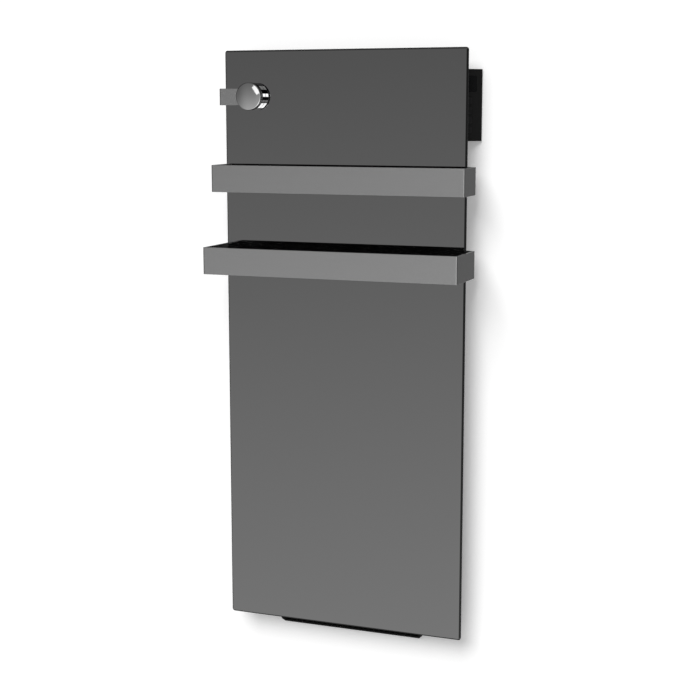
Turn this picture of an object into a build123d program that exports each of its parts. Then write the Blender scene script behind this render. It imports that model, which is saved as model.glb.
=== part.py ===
from build123d import *
from math import cos, radians, sin, sqrt
import os

# Wall-hung glass-front towel radiator with a fan heater at its foot.
# Millimetres. X to the right, Y into the wall, Z up. The wall is the plane Y = 0 and the
# origin is the centre of the four wall bolts, so everything in the room has a negative Y.
# Heights written with up(...) are measured from the bottom edge of the glass.

# Driving dimensions of the outside
GLASS_WIDTH = 501.6
GLASS_HEIGHT = 1162.0
GLASS_THICK = 6.0
GLASS_CORNER_R = 5.0
GLASS_FRONT_BEVEL = 3.2
GLASS_REAR_BEVEL = 0.6
GLASS_FRONT_TO_WALL = 62.0
BOLTS_ABOVE_GLASS_FOOT = 640.0

BAR_WIDTH = 523.0
BAR_HEIGHT = 53.4
BAR_THICK = 3.0
BAR_BEND_R = 3.4
BAR_ARRIS = 0.35
UPPER_BAR_BOTTOM = 884.8
UPPER_BAR_REACH = 47.5
LOWER_BAR_BOTTOM = 725.0
LOWER_BAR_REACH = 90.2
TAB_INNER_END = 150.0
TAB_SCREW_INSET = 14.0
TAB_SCREW_OFFSET = 14.0

HOOK_STRAP_HEIGHT = 32.8
HOOK_STRAP_BOTTOM = 1055.0
HOOK_STRAP_REACH = 5.4
HOOK_STRAP_PAST_KNOB = 16.0
HOOK_PAD_WIDTH = 26.0
HOOK_PAD_HEIGHT = 24.0
HOOK_PAD_CORNER_R = 6.0
HOOK_SCREW_HEAD_R = 5.0
HOOK_SCREW_LENGTH = 12.0
KNOB_X = -189.5
KNOB_HEIGHT = 1072.0
KNOB_RADIUS = 26.9
KNOB_REACH = 26.2
KNOB_GLASS_GAP = 0.6
KNOB_COLLAR = 12.5
KNOB_WAIST_LENGTH = 9.5
KNOB_WAIST_DEPTH = 2.2
KNOB_FACE_RADIUS = 24.5
KNOB_CROWN = 1.6
KNOB_SLOT_GAP = 0.2
KNOB_SCREW_HOLE_DEPTH = 10.0

CONTROL_BOTTOM = 986.8
CONTROL_TOP = 1122.4
CONTROL_OUTER_X = 262.5
CONTROL_INNER_X = 194.0
CONTROL_FRONT_Y = -44.0
CONTROL_REAR_Y = -2.5
CONTROL_REAR_LAND = 2.0

OUTLET_BOTTOM = -25.7
OUTLET_CHAMFER = 6.2
OUTLET_HALF_WIDTH = 155.5
OUTLET_FOOT_Y = -12.5
OUTLET_RAKE = 35.0
OUTLET_SLOT_PITCH = 11.5
OUTLET_RIB = 2.6
GRILLE_BORDER = 3.0

# Sheet and wall thicknesses
CHASSIS_SHEET = 1.2
MOULDED_WALL = 2.5
BRACKET_SHEET = 2.0
FILM_THICK = 0.5
SPREADER_THICK = 1.5

# Chassis tray behind the glass
TRAY_WALL_X = 178.0
TRAY_LIP = 12.0
TRAY_BOTTOM = 238.0
TRAY_TOP = 1135.0
TAPE_THICK = 1.0
TRAY_REAR_Y = -36.5
TRAY_FIXING_X = 164.0
COVER_FIXING_DROPS = (20.0, 70.0)
CONTROL_FIXING_OFFSET = 40.0
FILM_MARGIN = 8.0
FILM_THERMOSTAT_X = 60.0
FILM_THERMOSTAT_HEIGHT = 700.0
FILM_THERMOSTAT_R = 8.0

# Fan heater module
COVER_TOP = 330.0
COVER_REAR_Y = -3.0
COVER_EAR_R = 8.0
COVER_POST_R = 3.6
FRONT_PAN_HALF_WIDTH = 140.0
FRONT_PAN_BOTTOM = 14.0
FRONT_PAN_TOP = 229.0
FRONT_PAN_LIP_BOTTOM = 9.5
FRONT_PAN_LIP_TOP = 235.5
FRONT_PAN_Y = -54.0
FRONT_PAN_SCREW_X = 147.5
FRONT_PAN_SCREW_HEIGHTS = (28.0, 122.0, 216.0)
FRONT_PAN_SCREW_R = 1.5
FRONT_PAN_SCREW_HEAD_R = 3.0
ROTOR_RADIUS = 20.0
ROTOR_LEFT_X = -98.0
ROTOR_RIGHT_X = 114.0
ROTOR_HEIGHT = 150.0
ROTOR_Y = -30.0
ROTOR_BLADES = 20
SHAFT_RADIUS = 2.5
RUNNING_GAP = 0.05
END_PLATE_LEFT_X = -102.0
END_PLATE_RIGHT_X = 118.0
END_PLATE_HOLE_R = 6.0
MOTOR_RADIUS = 18.0
MOTOR_LENGTH = 28.0
HEATER_FRONT_Y = -49.0
HEATER_REAR_Y = -11.5
HEATER_BOTTOM = 66.0
HEATER_TOP = 82.0
HEATER_FRAME_WALL = 3.0
HEATER_FRAME_END = 5.0
HEATER_FINS = 34
HEATER_FIN_THICK = 0.6
HEATER_RAIL = 3.0
FILTER_LEFT_X = -118.0
FILTER_RIGHT_X = 112.0
FILTER_FRONT_Y = -32.0
FILTER_REAR_Y = -9.0
FILTER_THICK = 5.0
FILTER_GAP = 0.3
FILTER_CELLS = 8
FILTER_RIB = 2.0
FILTER_RIM = 4.0
FILTER_MESH = 0.8
RAIL_THICK = 2.0
RAIL_LIP = 2.5
RAIL_LIP_THICK = 1.6

# Mains side of the rear cover
SWITCH_Z = 262.0
SWITCH_Y = -20.0
SWITCH_HALF_Y = 6.5
SWITCH_HALF_Z = 9.5
SWITCH_BEZEL = 1.6
SWITCH_DEPTH = 15.0
SWITCH_PIN_R = 1.2
ROCKER_GAP = 0.3
ROCKER_END_GAP = 1.3
ROCKER_PIVOT_DEPTH = 5.0
ROCKER_TILT = 8.0
GLAND_Z = 302.0
GLAND_R = 6.0
GLAND_BORE_R = 3.6
GLAND_HEXAGON_R = 9.2
GLAND_DOME_R = 7.4
TERMINAL_LEFT_X = 60.0
TERMINAL_RIGHT_X = 96.0
TERMINAL_BOTTOM = 284.0
TERMINAL_TOP = 304.0
TERMINAL_PITCH = 12.0
TERMINAL_DEPTH = 14.0
DUCT_X = 134.0
DUCT_WIDTH = 16.0
DUCT_DEPTH = 10.0

# Fascia of the control box
FASCIA_WIDTH = 48.4
FASCIA_THICK = 2.5
FASCIA_GAP = 0.2
BUTTON_SIZE = 12.0
BUTTON_HEIGHTS = {"plus": 8.0, "minus": -10.0, "fan": -28.0, "standby": -46.0}
BUTTON_PROUD = 1.4
BUTTON_TRAVEL = 1.0
BUTTON_GAP = 0.3
BUTTON_CORNER_R = 2.0
BUTTON_FLANGE = 1.5
BUTTON_STEM_R = 1.8
DISPLAY_HEIGHT = 40.0
WINDOW_WIDTH = 34.0
WINDOW_HEIGHT = 30.0
WINDOW_CORNER_R = 3.0
WINDOW_THICK = 1.5
SIGHT_BORDER = 2.5
BOARD_DEPTH = 8.0
BOARD_WIDTH = 32.0
BOARD_HEIGHT = 118.0
BOARD_THICK = 1.6
BOARD_POST_X = 13.0
BOARD_POST_HEIGHTS = (-56.0, 57.0)
TACT_SWITCH_SIZE = 6.0
TACT_SWITCH_HEIGHT = 2.0

# Wall bracket, hanger channels and catches
BOLT_SPACING_X = 120.0
BOLT_SPACING_Z = 330.0
BOLT_HOLE_R = 3.5
BRACKET_HALF_WIDTH = 116.0
BRACKET_HALF_HEIGHT = 186.0
BRACKET_EAR_RISE = 14.0
BRACKET_EAR_MARGIN = 12.0
BRACKET_FLANGE_DEPTH = 5.0
BRACKET_FLANGE_HALF_HEIGHT = 180.0
BRACKET_WINDOW_WIDTH = 60.0
BRACKET_WINDOW_HEIGHT = 84.0
BRACKET_WINDOW_PITCH_X = 76.0
BRACKET_WINDOW_PITCH_Z = 104.0
BRACKET_HOOK_WIDTH = 10.0
BRACKET_HOOK_GAP = 0.2
HOOK_X = 95.0
HOOK_SPACING_Z = 240.0
CHANNEL_FLANGE_WIDTH = 60.0
CHANNEL_WEB_WIDTH = 30.0
CHANNEL_LENGTH = 400.0
CHANNEL_SHEET = 1.5
CHANNEL_WEB_Y = -8.5
CATCH_PIVOT_X = 125.0
CATCH_PIVOT_Z = 214.0
CATCH_THICK = 2.5
CATCH_FRONT_Y = -10.6
CATCH_PIN_R = 3.0
CATCH_EYE_R = 8.5
CATCH_GAP = 0.15
RIVET_SHANK_R = 2.0
RIVET_HEAD_R = 5.5
BUMPER_X = 130.0
BUMPER_HEIGHTS = (40.0, 290.0)
BUMPER_R = 8.0

# Screws
STRAP_SCREW_R = 2.5
STRAP_SCREW_HEAD_R = 4.5
STRAP_SCREW_HEAD_HEIGHT = 3.0
STRAP_SCREW_PAST_TRAY = 5.0
SCREW_RECESS_DEPTH = 1.4
SCREW_HOLE_GAP = 0.25

# Values derived from the driving dimensions
GLASS_FRONT_Y = -GLASS_FRONT_TO_WALL
GLASS_BACK_Y = GLASS_FRONT_Y + GLASS_THICK
GLASS_FOOT_Z = -BOLTS_ABOVE_GLASS_FOOT
TAB_REAR_Y = TRAY_REAR_Y + BAR_THICK
STRAP_SCREW_X = TAB_INNER_END + TAB_SCREW_INSET
STRAP_FRONT_Y = GLASS_FRONT_Y - HOOK_STRAP_REACH
CONTROL_MIDDLE = (CONTROL_BOTTOM + CONTROL_TOP) / 2


def up(height):
    """Row height of a point given above the bottom edge of the glass."""
    return GLASS_FOOT_Z + height


ROTOR_Z = up(ROTOR_HEIGHT)
KNOB_Z = up(KNOB_HEIGHT)


def facing_room(x, y, z):
    """Workplane that looks out of the wall: local x to the right, local y up."""
    return Plane((x, y, z), x_dir=(1, 0, 0), z_dir=(0, -1, 0))


def facing_right(x, y, z):
    """Workplane that looks along +X: local x into the wall, local y up."""
    return Plane((x, y, z), x_dir=(0, 1, 0), z_dir=(1, 0, 0))


def upright_plate(width, height, front_y, rear_y, x, z, corner=0.0):
    """Plate parallel to the wall between two depths, centred on x and z."""
    outline = RectangleRounded(width, height, corner) if corner else Rectangle(width, height)
    return extrude(facing_room(x, rear_y, z) * outline, rear_y - front_y)


def block(x_range, y_range, z_range):
    """Box between pairs of coordinates."""
    size = [high - low for low, high in (x_range, y_range, z_range)]
    middle = [(high + low) / 2 for low, high in (x_range, y_range, z_range)]
    return Pos(*middle) * Box(*size)


def rod_along_y(radius, front_y, rear_y, x, z):
    """Round bar square to the wall."""
    return extrude(facing_room(x, rear_y, z) * Circle(radius), rear_y - front_y)


def rod_along_x(radius, left_x, right_x, y, z):
    """Round bar parallel to the wall, left to right."""
    return extrude(facing_right(left_x, y, z) * Circle(radius), right_x - left_x)


def side_profile(points, left_x, right_x):
    """Outline given as (y, z) points, extruded from left to right."""
    face = make_face(Polyline(*points, close=True))
    return extrude(facing_right(left_x, 0, 0) * face, right_x - left_x)


def plan_profile(points, bottom_z, top_z):
    """Outline given as (x, y) points seen from above, extruded upwards."""
    face = make_face(Polyline(*points, close=True))
    return Pos(0, 0, bottom_z) * extrude(face, top_z - bottom_z)


def bent_strap(points, bend_radius, thickness, bottom_z, height):
    """Flat strip bent in plan along (x, y) points, standing on edge."""
    centre_line = FilletPolyline(*points, radius=bend_radius - thickness / 2)
    return Pos(0, 0, bottom_z) * extrude(trace(centre_line, thickness), height)


def mirrored_pair(values):
    """Each value with its negative."""
    return [sign * value for value in values for sign in (-1, 1)]


def front_glass():
    """Toughened tinted mirror glass with rounded corners and a wide polished bevel in front."""
    pane = upright_plate(
        GLASS_WIDTH, GLASS_HEIGHT, GLASS_FRONT_Y, GLASS_BACK_Y,
        0, up(GLASS_HEIGHT / 2), GLASS_CORNER_R,
    )
    rims = pane.faces().sort_by(Axis.Y)
    pane = chamfer(rims[0].edges(), GLASS_FRONT_BEVEL)
    rear = pane.faces().sort_by(Axis.Y)[-1]
    return chamfer(rear.edges(), GLASS_REAR_BEVEL)


def tray_middle():
    return up((TRAY_BOTTOM + TRAY_TOP) / 2)


def bond_tape():
    """Adhesive foam between the lip of the tray and the back of the glass."""
    width = 2 * (TRAY_WALL_X + TRAY_LIP)
    height = TRAY_TOP - TRAY_BOTTOM
    outer = RectangleRounded(width - 2, height - 2, 6)
    inner = RectangleRounded(width - 2 * TRAY_LIP + 4, height - 2 * TRAY_LIP + 4, 4)
    plane = facing_room(0, GLASS_BACK_Y + TAPE_THICK, tray_middle())
    return extrude(plane * (outer - inner), TAPE_THICK)


def chassis_tray():
    """Pressed steel tray: floor towards the wall, lip bonded to the glass."""
    lip_y = GLASS_BACK_Y + TAPE_THICK
    width = 2 * (TRAY_WALL_X + TRAY_LIP)
    height = TRAY_TOP - TRAY_BOTTOM
    lip = upright_plate(width, height, lip_y, lip_y + CHASSIS_SHEET, 0, tray_middle(), 8)
    well_width = 2 * TRAY_WALL_X
    well_height = height - 2 * TRAY_LIP
    well = upright_plate(well_width, well_height, lip_y, TRAY_REAR_Y, 0, tray_middle(), 6)
    hollow = upright_plate(
        well_width - 2 * CHASSIS_SHEET, well_height - 2 * CHASSIS_SHEET,
        lip_y - 1, TRAY_REAR_Y - CHASSIS_SHEET, 0, tray_middle(), 5,
    )
    tray = lip + well - hollow
    for x, z in strap_screw_places():
        tray -= rod_along_y(STRAP_SCREW_R, lip_y, TRAY_REAR_Y + 1, x, z)
    for x, z in tray_fixing_places():
        tray -= rod_along_y(STRAP_SCREW_R, lip_y, TRAY_REAR_Y + 1, x, z)
    return tray


def heating_film():
    """Printed carbon heating film bonded to the back of the glass."""
    return upright_plate(
        2 * (TRAY_WALL_X - FILM_MARGIN), TRAY_TOP - TRAY_BOTTOM - 2 * (TRAY_LIP + FILM_MARGIN) - 6,
        GLASS_BACK_Y, GLASS_BACK_Y + FILM_THICK, 0, tray_middle(), 6,
    )


def heat_spreader():
    """Aluminium sheet that evens out the film's heat."""
    front = GLASS_BACK_Y + FILM_THICK
    return upright_plate(
        2 * (TRAY_WALL_X - FILM_MARGIN - 2), TRAY_TOP - TRAY_BOTTOM - 2 * (TRAY_LIP + FILM_MARGIN) - 10,
        front, front + SPREADER_THICK, 0, tray_middle(), 5,
    )


def insulation_panel():
    """Mineral wool that keeps the heat off the wall, with a pocket for the thermostat."""
    front = GLASS_BACK_Y + FILM_THICK + SPREADER_THICK
    rear = TRAY_REAR_Y - CHASSIS_SHEET
    panel = upright_plate(
        2 * TRAY_WALL_X - 8, TRAY_TOP - TRAY_BOTTOM - 36, front, rear, 0, tray_middle(), 5,
    )
    for x, z in strap_screw_places() + tray_fixing_places():
        panel -= rod_along_y(STRAP_SCREW_R + 2, rear - 8, rear + 1, x, z)
    pocket = rod_along_y(FILM_THERMOSTAT_R + 3, front - 1, front + 11, FILM_THERMOSTAT_X,
                         up(FILM_THERMOSTAT_HEIGHT))
    return panel - pocket


def film_thermostat():
    """Snap disc limiter clipped on the heat spreader, with its two spade terminals."""
    x, z = FILM_THERMOSTAT_X, up(FILM_THERMOSTAT_HEIGHT)
    seat = GLASS_BACK_Y + FILM_THICK + SPREADER_THICK
    body = rod_along_y(FILM_THERMOSTAT_R, seat, seat + 4, x, z)
    body += rod_along_y(FILM_THERMOSTAT_R - 2, seat + 3, seat + 7, x, z)
    for spade in (x - 4, x + 4):
        body += block((spade - 1, spade + 1), (seat + 6, seat + 10), (z - 3, z + 3))
    return body


def strap_screw_places():
    """Centres of the screws that hold the bar tabs and the hook strap to the tray."""
    places = []
    for bottom in (UPPER_BAR_BOTTOM, LOWER_BAR_BOTTOM):
        for x in mirrored_pair([STRAP_SCREW_X]):
            for offset in (-TAB_SCREW_OFFSET, TAB_SCREW_OFFSET):
                places.append((x, up(bottom + BAR_HEIGHT / 2 + offset)))
    places.append((-STRAP_SCREW_X, up(HOOK_STRAP_BOTTOM + HOOK_STRAP_HEIGHT / 2)))
    return places


def tray_fixing_places():
    """Centres of the screws that hold the rear cover and the control housing."""
    sides = mirrored_pair([TRAY_FIXING_X])
    cover = [(x, up(COVER_TOP - drop)) for drop in COVER_FIXING_DROPS for x in sides]
    offsets = mirrored_pair([CONTROL_FIXING_OFFSET])
    return cover + [(TRAY_FIXING_X, up(CONTROL_MIDDLE + offset)) for offset in offsets]


def pan_head_screw(x, z, seat_y, tip_y):
    """Pan-head screw driven towards the room, with a cross recess in its head."""
    crown_y = seat_y + STRAP_SCREW_HEAD_HEIGHT
    head = rod_along_y(STRAP_SCREW_HEAD_R, seat_y, crown_y, x, z)
    head = fillet(head.edges().sort_by(Axis.Y)[-1], 1.4)
    for turn in (0, 90):
        slot = Rectangle(5.0, 1.1)
        recess = facing_room(x, crown_y, z) * Rot(0, 0, turn) * slot
        head -= extrude(recess, SCREW_RECESS_DEPTH)
    return head + rod_along_y(STRAP_SCREW_R, tip_y, seat_y, x, z)


def towel_bar(bottom, reach):
    """Aluminium strap bent round the edges of the glass to two tabs behind it."""
    half = (BAR_WIDTH - BAR_THICK) / 2
    front = GLASS_FRONT_Y - reach + BAR_THICK / 2
    rear = TAB_REAR_Y - BAR_THICK / 2
    run = [(-TAB_INNER_END, rear), (-half, rear), (-half, front)]
    run += [(half, front), (half, rear), (TAB_INNER_END, rear)]
    strap = bent_strap(run, BAR_BEND_R, BAR_THICK, up(bottom), BAR_HEIGHT)
    for x, z in strap_screw_places():
        if up(bottom) < z < up(bottom + BAR_HEIGHT):
            strap -= rod_along_y(STRAP_SCREW_R + SCREW_HOLE_GAP, TAB_REAR_Y - 5, TAB_REAR_Y + 1, x, z)
    long_edges = strap.edges().filter_by(Axis.X)
    front_edges = long_edges.filter_by(lambda edge: edge.center().Y < GLASS_FRONT_Y)
    return chamfer(front_edges, BAR_ARRIS)


def hook_strap():
    """Narrow aluminium strap round the left edge of the glass, behind the knob."""
    half = (BAR_WIDTH - BAR_THICK) / 2
    front = STRAP_FRONT_Y + BAR_THICK / 2
    rear = TAB_REAR_Y - BAR_THICK / 2
    run = [(KNOB_X + HOOK_STRAP_PAST_KNOB, front), (-half, front), (-half, rear)]
    run.append((-TAB_INNER_END, rear))
    strap = bent_strap(run, BAR_BEND_R, BAR_THICK, up(HOOK_STRAP_BOTTOM), HOOK_STRAP_HEIGHT)
    tab_z = up(HOOK_STRAP_BOTTOM + HOOK_STRAP_HEIGHT / 2)
    strap -= rod_along_y(STRAP_SCREW_R + SCREW_HOLE_GAP, TAB_REAR_Y - 5, TAB_REAR_Y + 1,
                         -STRAP_SCREW_X, tab_z)
    return strap - countersunk_rod(STRAP_SCREW_R + 0.1, HOOK_SCREW_HEAD_R + 0.1)


def countersunk_rod(radius, head_radius):
    """Screw shape whose cone is flush with the inner face of the hook strap."""
    outline = Polyline(
        (0, 0), (head_radius, 0), (radius, head_radius - radius), (radius, HOOK_SCREW_LENGTH),
        (0, HOOK_SCREW_LENGTH), close=True,
    )
    turned = revolve(Plane.XZ * make_face(outline), Axis.Z)
    return Plane((KNOB_X, STRAP_FRONT_Y + BAR_THICK, KNOB_Z), z_dir=(0, -1, 0)) * turned


def hook_screw():
    """Countersunk screw from behind the strap into the knob."""
    return countersunk_rod(STRAP_SCREW_R, HOOK_SCREW_HEAD_R)


def hook_pad():
    """Clear silicone pad between the hook strap and the glass."""
    return upright_plate(HOOK_PAD_WIDTH, HOOK_PAD_HEIGHT, STRAP_FRONT_Y + BAR_THICK,
                         GLASS_FRONT_Y, KNOB_X, KNOB_Z, HOOK_PAD_CORNER_R)


def knob_outline():
    """Half section of the knob: radius from its axis, height above its back."""
    depth = KNOB_REACH - KNOB_GLASS_GAP
    shoulder = KNOB_COLLAR + KNOB_WAIST_LENGTH
    edge = depth - KNOB_CROWN
    foot = Line((0, 0), (KNOB_RADIUS, 0))
    collar = Line(foot @ 1, (KNOB_RADIUS, KNOB_COLLAR))
    waist = Spline(
        collar @ 1, (KNOB_RADIUS - KNOB_WAIST_DEPTH, (KNOB_COLLAR + shoulder) / 2),
        (KNOB_RADIUS, shoulder), tangents=[(0, 1), (0, 1)],
    )
    diagonal = sqrt(0.5)
    roll = Spline(
        waist @ 1,
        (KNOB_FACE_RADIUS + diagonal * (KNOB_RADIUS - KNOB_FACE_RADIUS),
         shoulder + diagonal * (edge - shoulder)),
        (KNOB_FACE_RADIUS, edge), tangents=[(0, 1), (-1, 0)],
    )
    dome = (KNOB_FACE_RADIUS**2 + KNOB_CROWN**2) / (2 * KNOB_CROWN)
    halfway = depth - dome + sqrt(dome**2 - KNOB_FACE_RADIUS**2 / 4)
    face = ThreePointArc(roll @ 1, (KNOB_FACE_RADIUS / 2, halfway), (0, depth))
    return make_face(Curve() + [foot, collar, waist, roll, face, Line(face @ 1, foot @ 0)])


def hook_knob():
    """Turned chrome knob: domed face, waist for a robe's loop, collar slotted for the strap."""
    back_y = GLASS_FRONT_Y - KNOB_GLASS_GAP
    turned = revolve(Plane.XZ * knob_outline(), Axis.Z)
    knob = Plane((KNOB_X, back_y, KNOB_Z), z_dir=(0, -1, 0)) * turned
    slot_x = (KNOB_X - KNOB_RADIUS - 1, KNOB_X + HOOK_STRAP_PAST_KNOB + KNOB_SLOT_GAP)
    slot_z = (up(HOOK_STRAP_BOTTOM) - KNOB_SLOT_GAP,
              up(HOOK_STRAP_BOTTOM + HOOK_STRAP_HEIGHT) + KNOB_SLOT_GAP)
    knob -= block(slot_x, (STRAP_FRONT_Y, back_y + 1), slot_z)
    hole_end = STRAP_FRONT_Y - KNOB_SCREW_HOLE_DEPTH
    return knob - rod_along_y(STRAP_SCREW_R, hole_end, STRAP_FRONT_Y + 1, KNOB_X, KNOB_Z)


def outlet_slope():
    """Top corner of the raked outlet face as (y, z)."""
    rise = (OUTLET_FOOT_Y - TRAY_REAR_Y) / sin(radians(OUTLET_RAKE)) * cos(radians(OUTLET_RAKE))
    return TRAY_REAR_Y, up(OUTLET_BOTTOM) + rise


def outlet_plane():
    """Workplane on the raked outlet face: local x to the right, local y up the slope."""
    top_y, top_z = outlet_slope()
    centre = (0, (top_y + OUTLET_FOOT_Y) / 2, (top_z + up(OUTLET_BOTTOM)) / 2)
    lean = radians(OUTLET_RAKE)
    return Plane(centre, x_dir=(1, 0, 0), z_dir=(0, -cos(lean), -sin(lean)))


def outlet_length():
    return (OUTLET_FOOT_Y - TRAY_REAR_Y) / sin(radians(OUTLET_RAKE))


def outlet_outline(half_width, length, chamfer_size):
    """Outlet face with its two lower corners cut off."""
    low = -length / 2
    points = [
        (-half_width, length / 2), (-half_width, low + chamfer_size),
        (-half_width + chamfer_size, low), (half_width - chamfer_size, low),
        (half_width, low + chamfer_size), (half_width, length / 2),
    ]
    return make_face(Polyline(*points, close=True))


def front_outline(half_width, bottom_z, top_z, cut):
    """Front view of the rear cover, with its lower corners cut off."""
    points = [
        (-half_width, top_z), (-half_width, bottom_z + cut), (-half_width + cut, bottom_z),
        (half_width - cut, bottom_z), (half_width, bottom_z + cut), (half_width, top_z),
    ]
    return make_face(Polyline(*points, close=True))


def cover_shell():
    """Hollow body of the rear cover, open to the front, its rear corners rounded."""
    top_y, top_z = outlet_slope()
    bottom = up(OUTLET_BOTTOM)
    roof = up(COVER_TOP)
    side = [
        (COVER_REAR_Y, roof), (COVER_REAR_Y, bottom), (OUTLET_FOOT_Y, bottom),
        (top_y, top_z), (TRAY_REAR_Y, roof),
    ]
    solid = side_profile(side, -OUTLET_HALF_WIDTH, OUTLET_HALF_WIDTH)
    front_view = front_outline(OUTLET_HALF_WIDTH, bottom, roof, OUTLET_CHAMFER)
    solid &= extrude(facing_room(0, 0, 0) * front_view, GLASS_FRONT_TO_WALL)
    open_face = solid.faces().filter_by(Axis.Y).sort_by(Axis.Y)[0]
    shell = offset(solid, amount=-MOULDED_WALL, openings=open_face)
    rear_corners = shell.edges().filter_by(Axis.Z).filter_by(
        lambda edge: edge.center().Y > COVER_REAR_Y - 0.1
        and abs(edge.center().X) > OUTLET_HALF_WIDTH - 0.1
    )
    return fillet(rear_corners, 2.0)


def air_intake():
    """Opening in the roof under the dust filter."""
    roof = up(COVER_TOP)
    return block((FILTER_LEFT_X + 8, FILTER_RIGHT_X - 4), (FILTER_FRONT_Y + 3, FILTER_REAR_Y - 3),
                 (roof - 10, roof + 10))


def intake_ribs():
    """Ribs across the air intake that the filter rests on."""
    roof = up(COVER_TOP)
    return [
        block((x - 1, x + 1), (FILTER_FRONT_Y + 2, FILTER_REAR_Y - 2), (roof - MOULDED_WALL, roof))
        for x in range(-88, 100, 22)
    ]


def side_wall_openings():
    """Holes for the mains switch and the cable gland in the right side wall."""
    wall_x = (OUTLET_HALF_WIDTH - 5, OUTLET_HALF_WIDTH + 5)
    switch = block(wall_x, (SWITCH_Y - SWITCH_HALF_Y, SWITCH_Y + SWITCH_HALF_Y),
                   (up(SWITCH_Z) - SWITCH_HALF_Z, up(SWITCH_Z) + SWITCH_HALF_Z))
    return [switch, rod_along_x(GLAND_R, wall_x[0], wall_x[1], SWITCH_Y, up(GLAND_Z))]


def rear_cover():
    """Moulded shell of the fan heater, open to the front, with filter rails on its roof."""
    shell = cover_shell()
    window = outlet_outline(
        OUTLET_HALF_WIDTH - GRILLE_BORDER, outlet_length() - 2 * GRILLE_BORDER, OUTLET_CHAMFER,
    )
    shell -= extrude(outlet_plane() * window, MOULDED_WALL + 2, both=True)
    shell -= air_intake()
    shell += intake_ribs()
    shell += filter_rails()
    shell += cover_ears()
    shell += cover_bosses()
    for x, z in cover_ear_places():
        shell -= rod_along_y(STRAP_SCREW_R + SCREW_HOLE_GAP, TRAY_REAR_Y - 1, TRAY_REAR_Y + 6, x, z)
    for x, z in front_pan_screw_places():
        shell -= rod_along_y(FRONT_PAN_SCREW_R, TRAY_REAR_Y - 1, TRAY_REAR_Y + 12, x, z)
    return shell - side_wall_openings()


def filter_rails():
    """Two lipped rails that the dust filter slides between."""
    base = up(COVER_TOP)
    above = base + FILTER_GAP + FILTER_THICK + FILTER_GAP
    top = above + RAIL_LIP_THICK
    front_stop = FILTER_FRONT_Y - FILTER_GAP
    rear_stop = FILTER_REAR_Y + FILTER_GAP
    front = [
        (front_stop - RAIL_THICK, base), (front_stop, base), (front_stop, above),
        (front_stop + RAIL_LIP, above), (front_stop + RAIL_LIP, top), (front_stop - RAIL_THICK, top),
    ]
    rear = [
        (rear_stop, base), (rear_stop + RAIL_THICK, base), (rear_stop + RAIL_THICK, top),
        (rear_stop - RAIL_LIP, top), (rear_stop - RAIL_LIP, above), (rear_stop, above),
    ]
    end_x = FILTER_RIGHT_X + 3
    rails = [side_profile(line, FILTER_LEFT_X, end_x) for line in (front, rear)]
    stop = block((FILTER_RIGHT_X + FILTER_GAP, end_x), (front_stop - 1, rear_stop + 1), (base, top))
    return rails + [stop]


def cover_ear_places():
    return [(x, z) for x, z in tray_fixing_places() if z < up(COVER_TOP)]


def cover_ears():
    """Rounded lugs at the sides of the rear cover, screwed to the tray."""
    ears = []
    for x, z in cover_ear_places():
        side = 1 if x > 0 else -1
        inner = side * (OUTLET_HALF_WIDTH - MOULDED_WALL)
        bridge = block(sorted((inner, x)), (TRAY_REAR_Y, TAB_REAR_Y),
                       (z - COVER_EAR_R, z + COVER_EAR_R))
        ears.append(bridge + rod_along_y(COVER_EAR_R, TRAY_REAR_Y, TAB_REAR_Y, x, z))
    return ears


def front_pan_screw_places():
    sides = mirrored_pair([FRONT_PAN_SCREW_X])
    return [(x, up(height)) for x in sides for height in FRONT_PAN_SCREW_HEIGHTS]


def cover_bosses():
    """Posts on the rear wall that take the screws of the front pan."""
    posts = []
    for x, z in front_pan_screw_places():
        post = rod_along_y(COVER_POST_R, TRAY_REAR_Y, COVER_REAR_Y - 1, x, z)
        side = 1 if x > 0 else -1
        web_x = sorted((x, side * (OUTLET_HALF_WIDTH - 1)))
        post += block(web_x, (TRAY_REAR_Y + 4, COVER_REAR_Y - 1), (z - 0.9, z + 0.9))
        posts.append(post)
    return posts


def front_pan():
    """Pressed steel pan that closes the fan heater towards the glass."""
    lip_front = TRAY_REAR_Y - CHASSIS_SHEET
    lip = upright_plate(
        2 * OUTLET_HALF_WIDTH - 1, FRONT_PAN_LIP_TOP - FRONT_PAN_LIP_BOTTOM, lip_front,
        TRAY_REAR_Y, 0, up((FRONT_PAN_LIP_BOTTOM + FRONT_PAN_LIP_TOP) / 2), 3,
    )
    height = FRONT_PAN_TOP - FRONT_PAN_BOTTOM
    middle = up((FRONT_PAN_BOTTOM + FRONT_PAN_TOP) / 2)
    pan = upright_plate(2 * FRONT_PAN_HALF_WIDTH, height, FRONT_PAN_Y, TRAY_REAR_Y, 0, middle, 6)
    pan = fillet(pan.faces().sort_by(Axis.Y)[0].edges(), 3)
    hollow = upright_plate(
        2 * (FRONT_PAN_HALF_WIDTH - CHASSIS_SHEET), height - 2 * CHASSIS_SHEET,
        FRONT_PAN_Y + CHASSIS_SHEET, TRAY_REAR_Y + 1, 0, middle, 5,
    )
    shell = lip + pan - hollow
    for x, z in front_pan_screw_places():
        shell -= rod_along_y(FRONT_PAN_SCREW_R + 0.3, lip_front - 1, TRAY_REAR_Y + 1, x, z)
    return shell


def front_pan_screws():
    """Self-tapping screws through the lip of the pan into the posts of the cover."""
    lip_front = TRAY_REAR_Y - CHASSIS_SHEET
    screws = []
    for x, z in front_pan_screw_places():
        head = rod_along_y(FRONT_PAN_SCREW_HEAD_R, lip_front - 2, lip_front, x, z)
        head = fillet(head.edges().sort_by(Axis.Y)[0], 0.9)
        screws.append(head + rod_along_y(FRONT_PAN_SCREW_R, lip_front, TRAY_REAR_Y + 9, x, z))
    return screws


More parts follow.
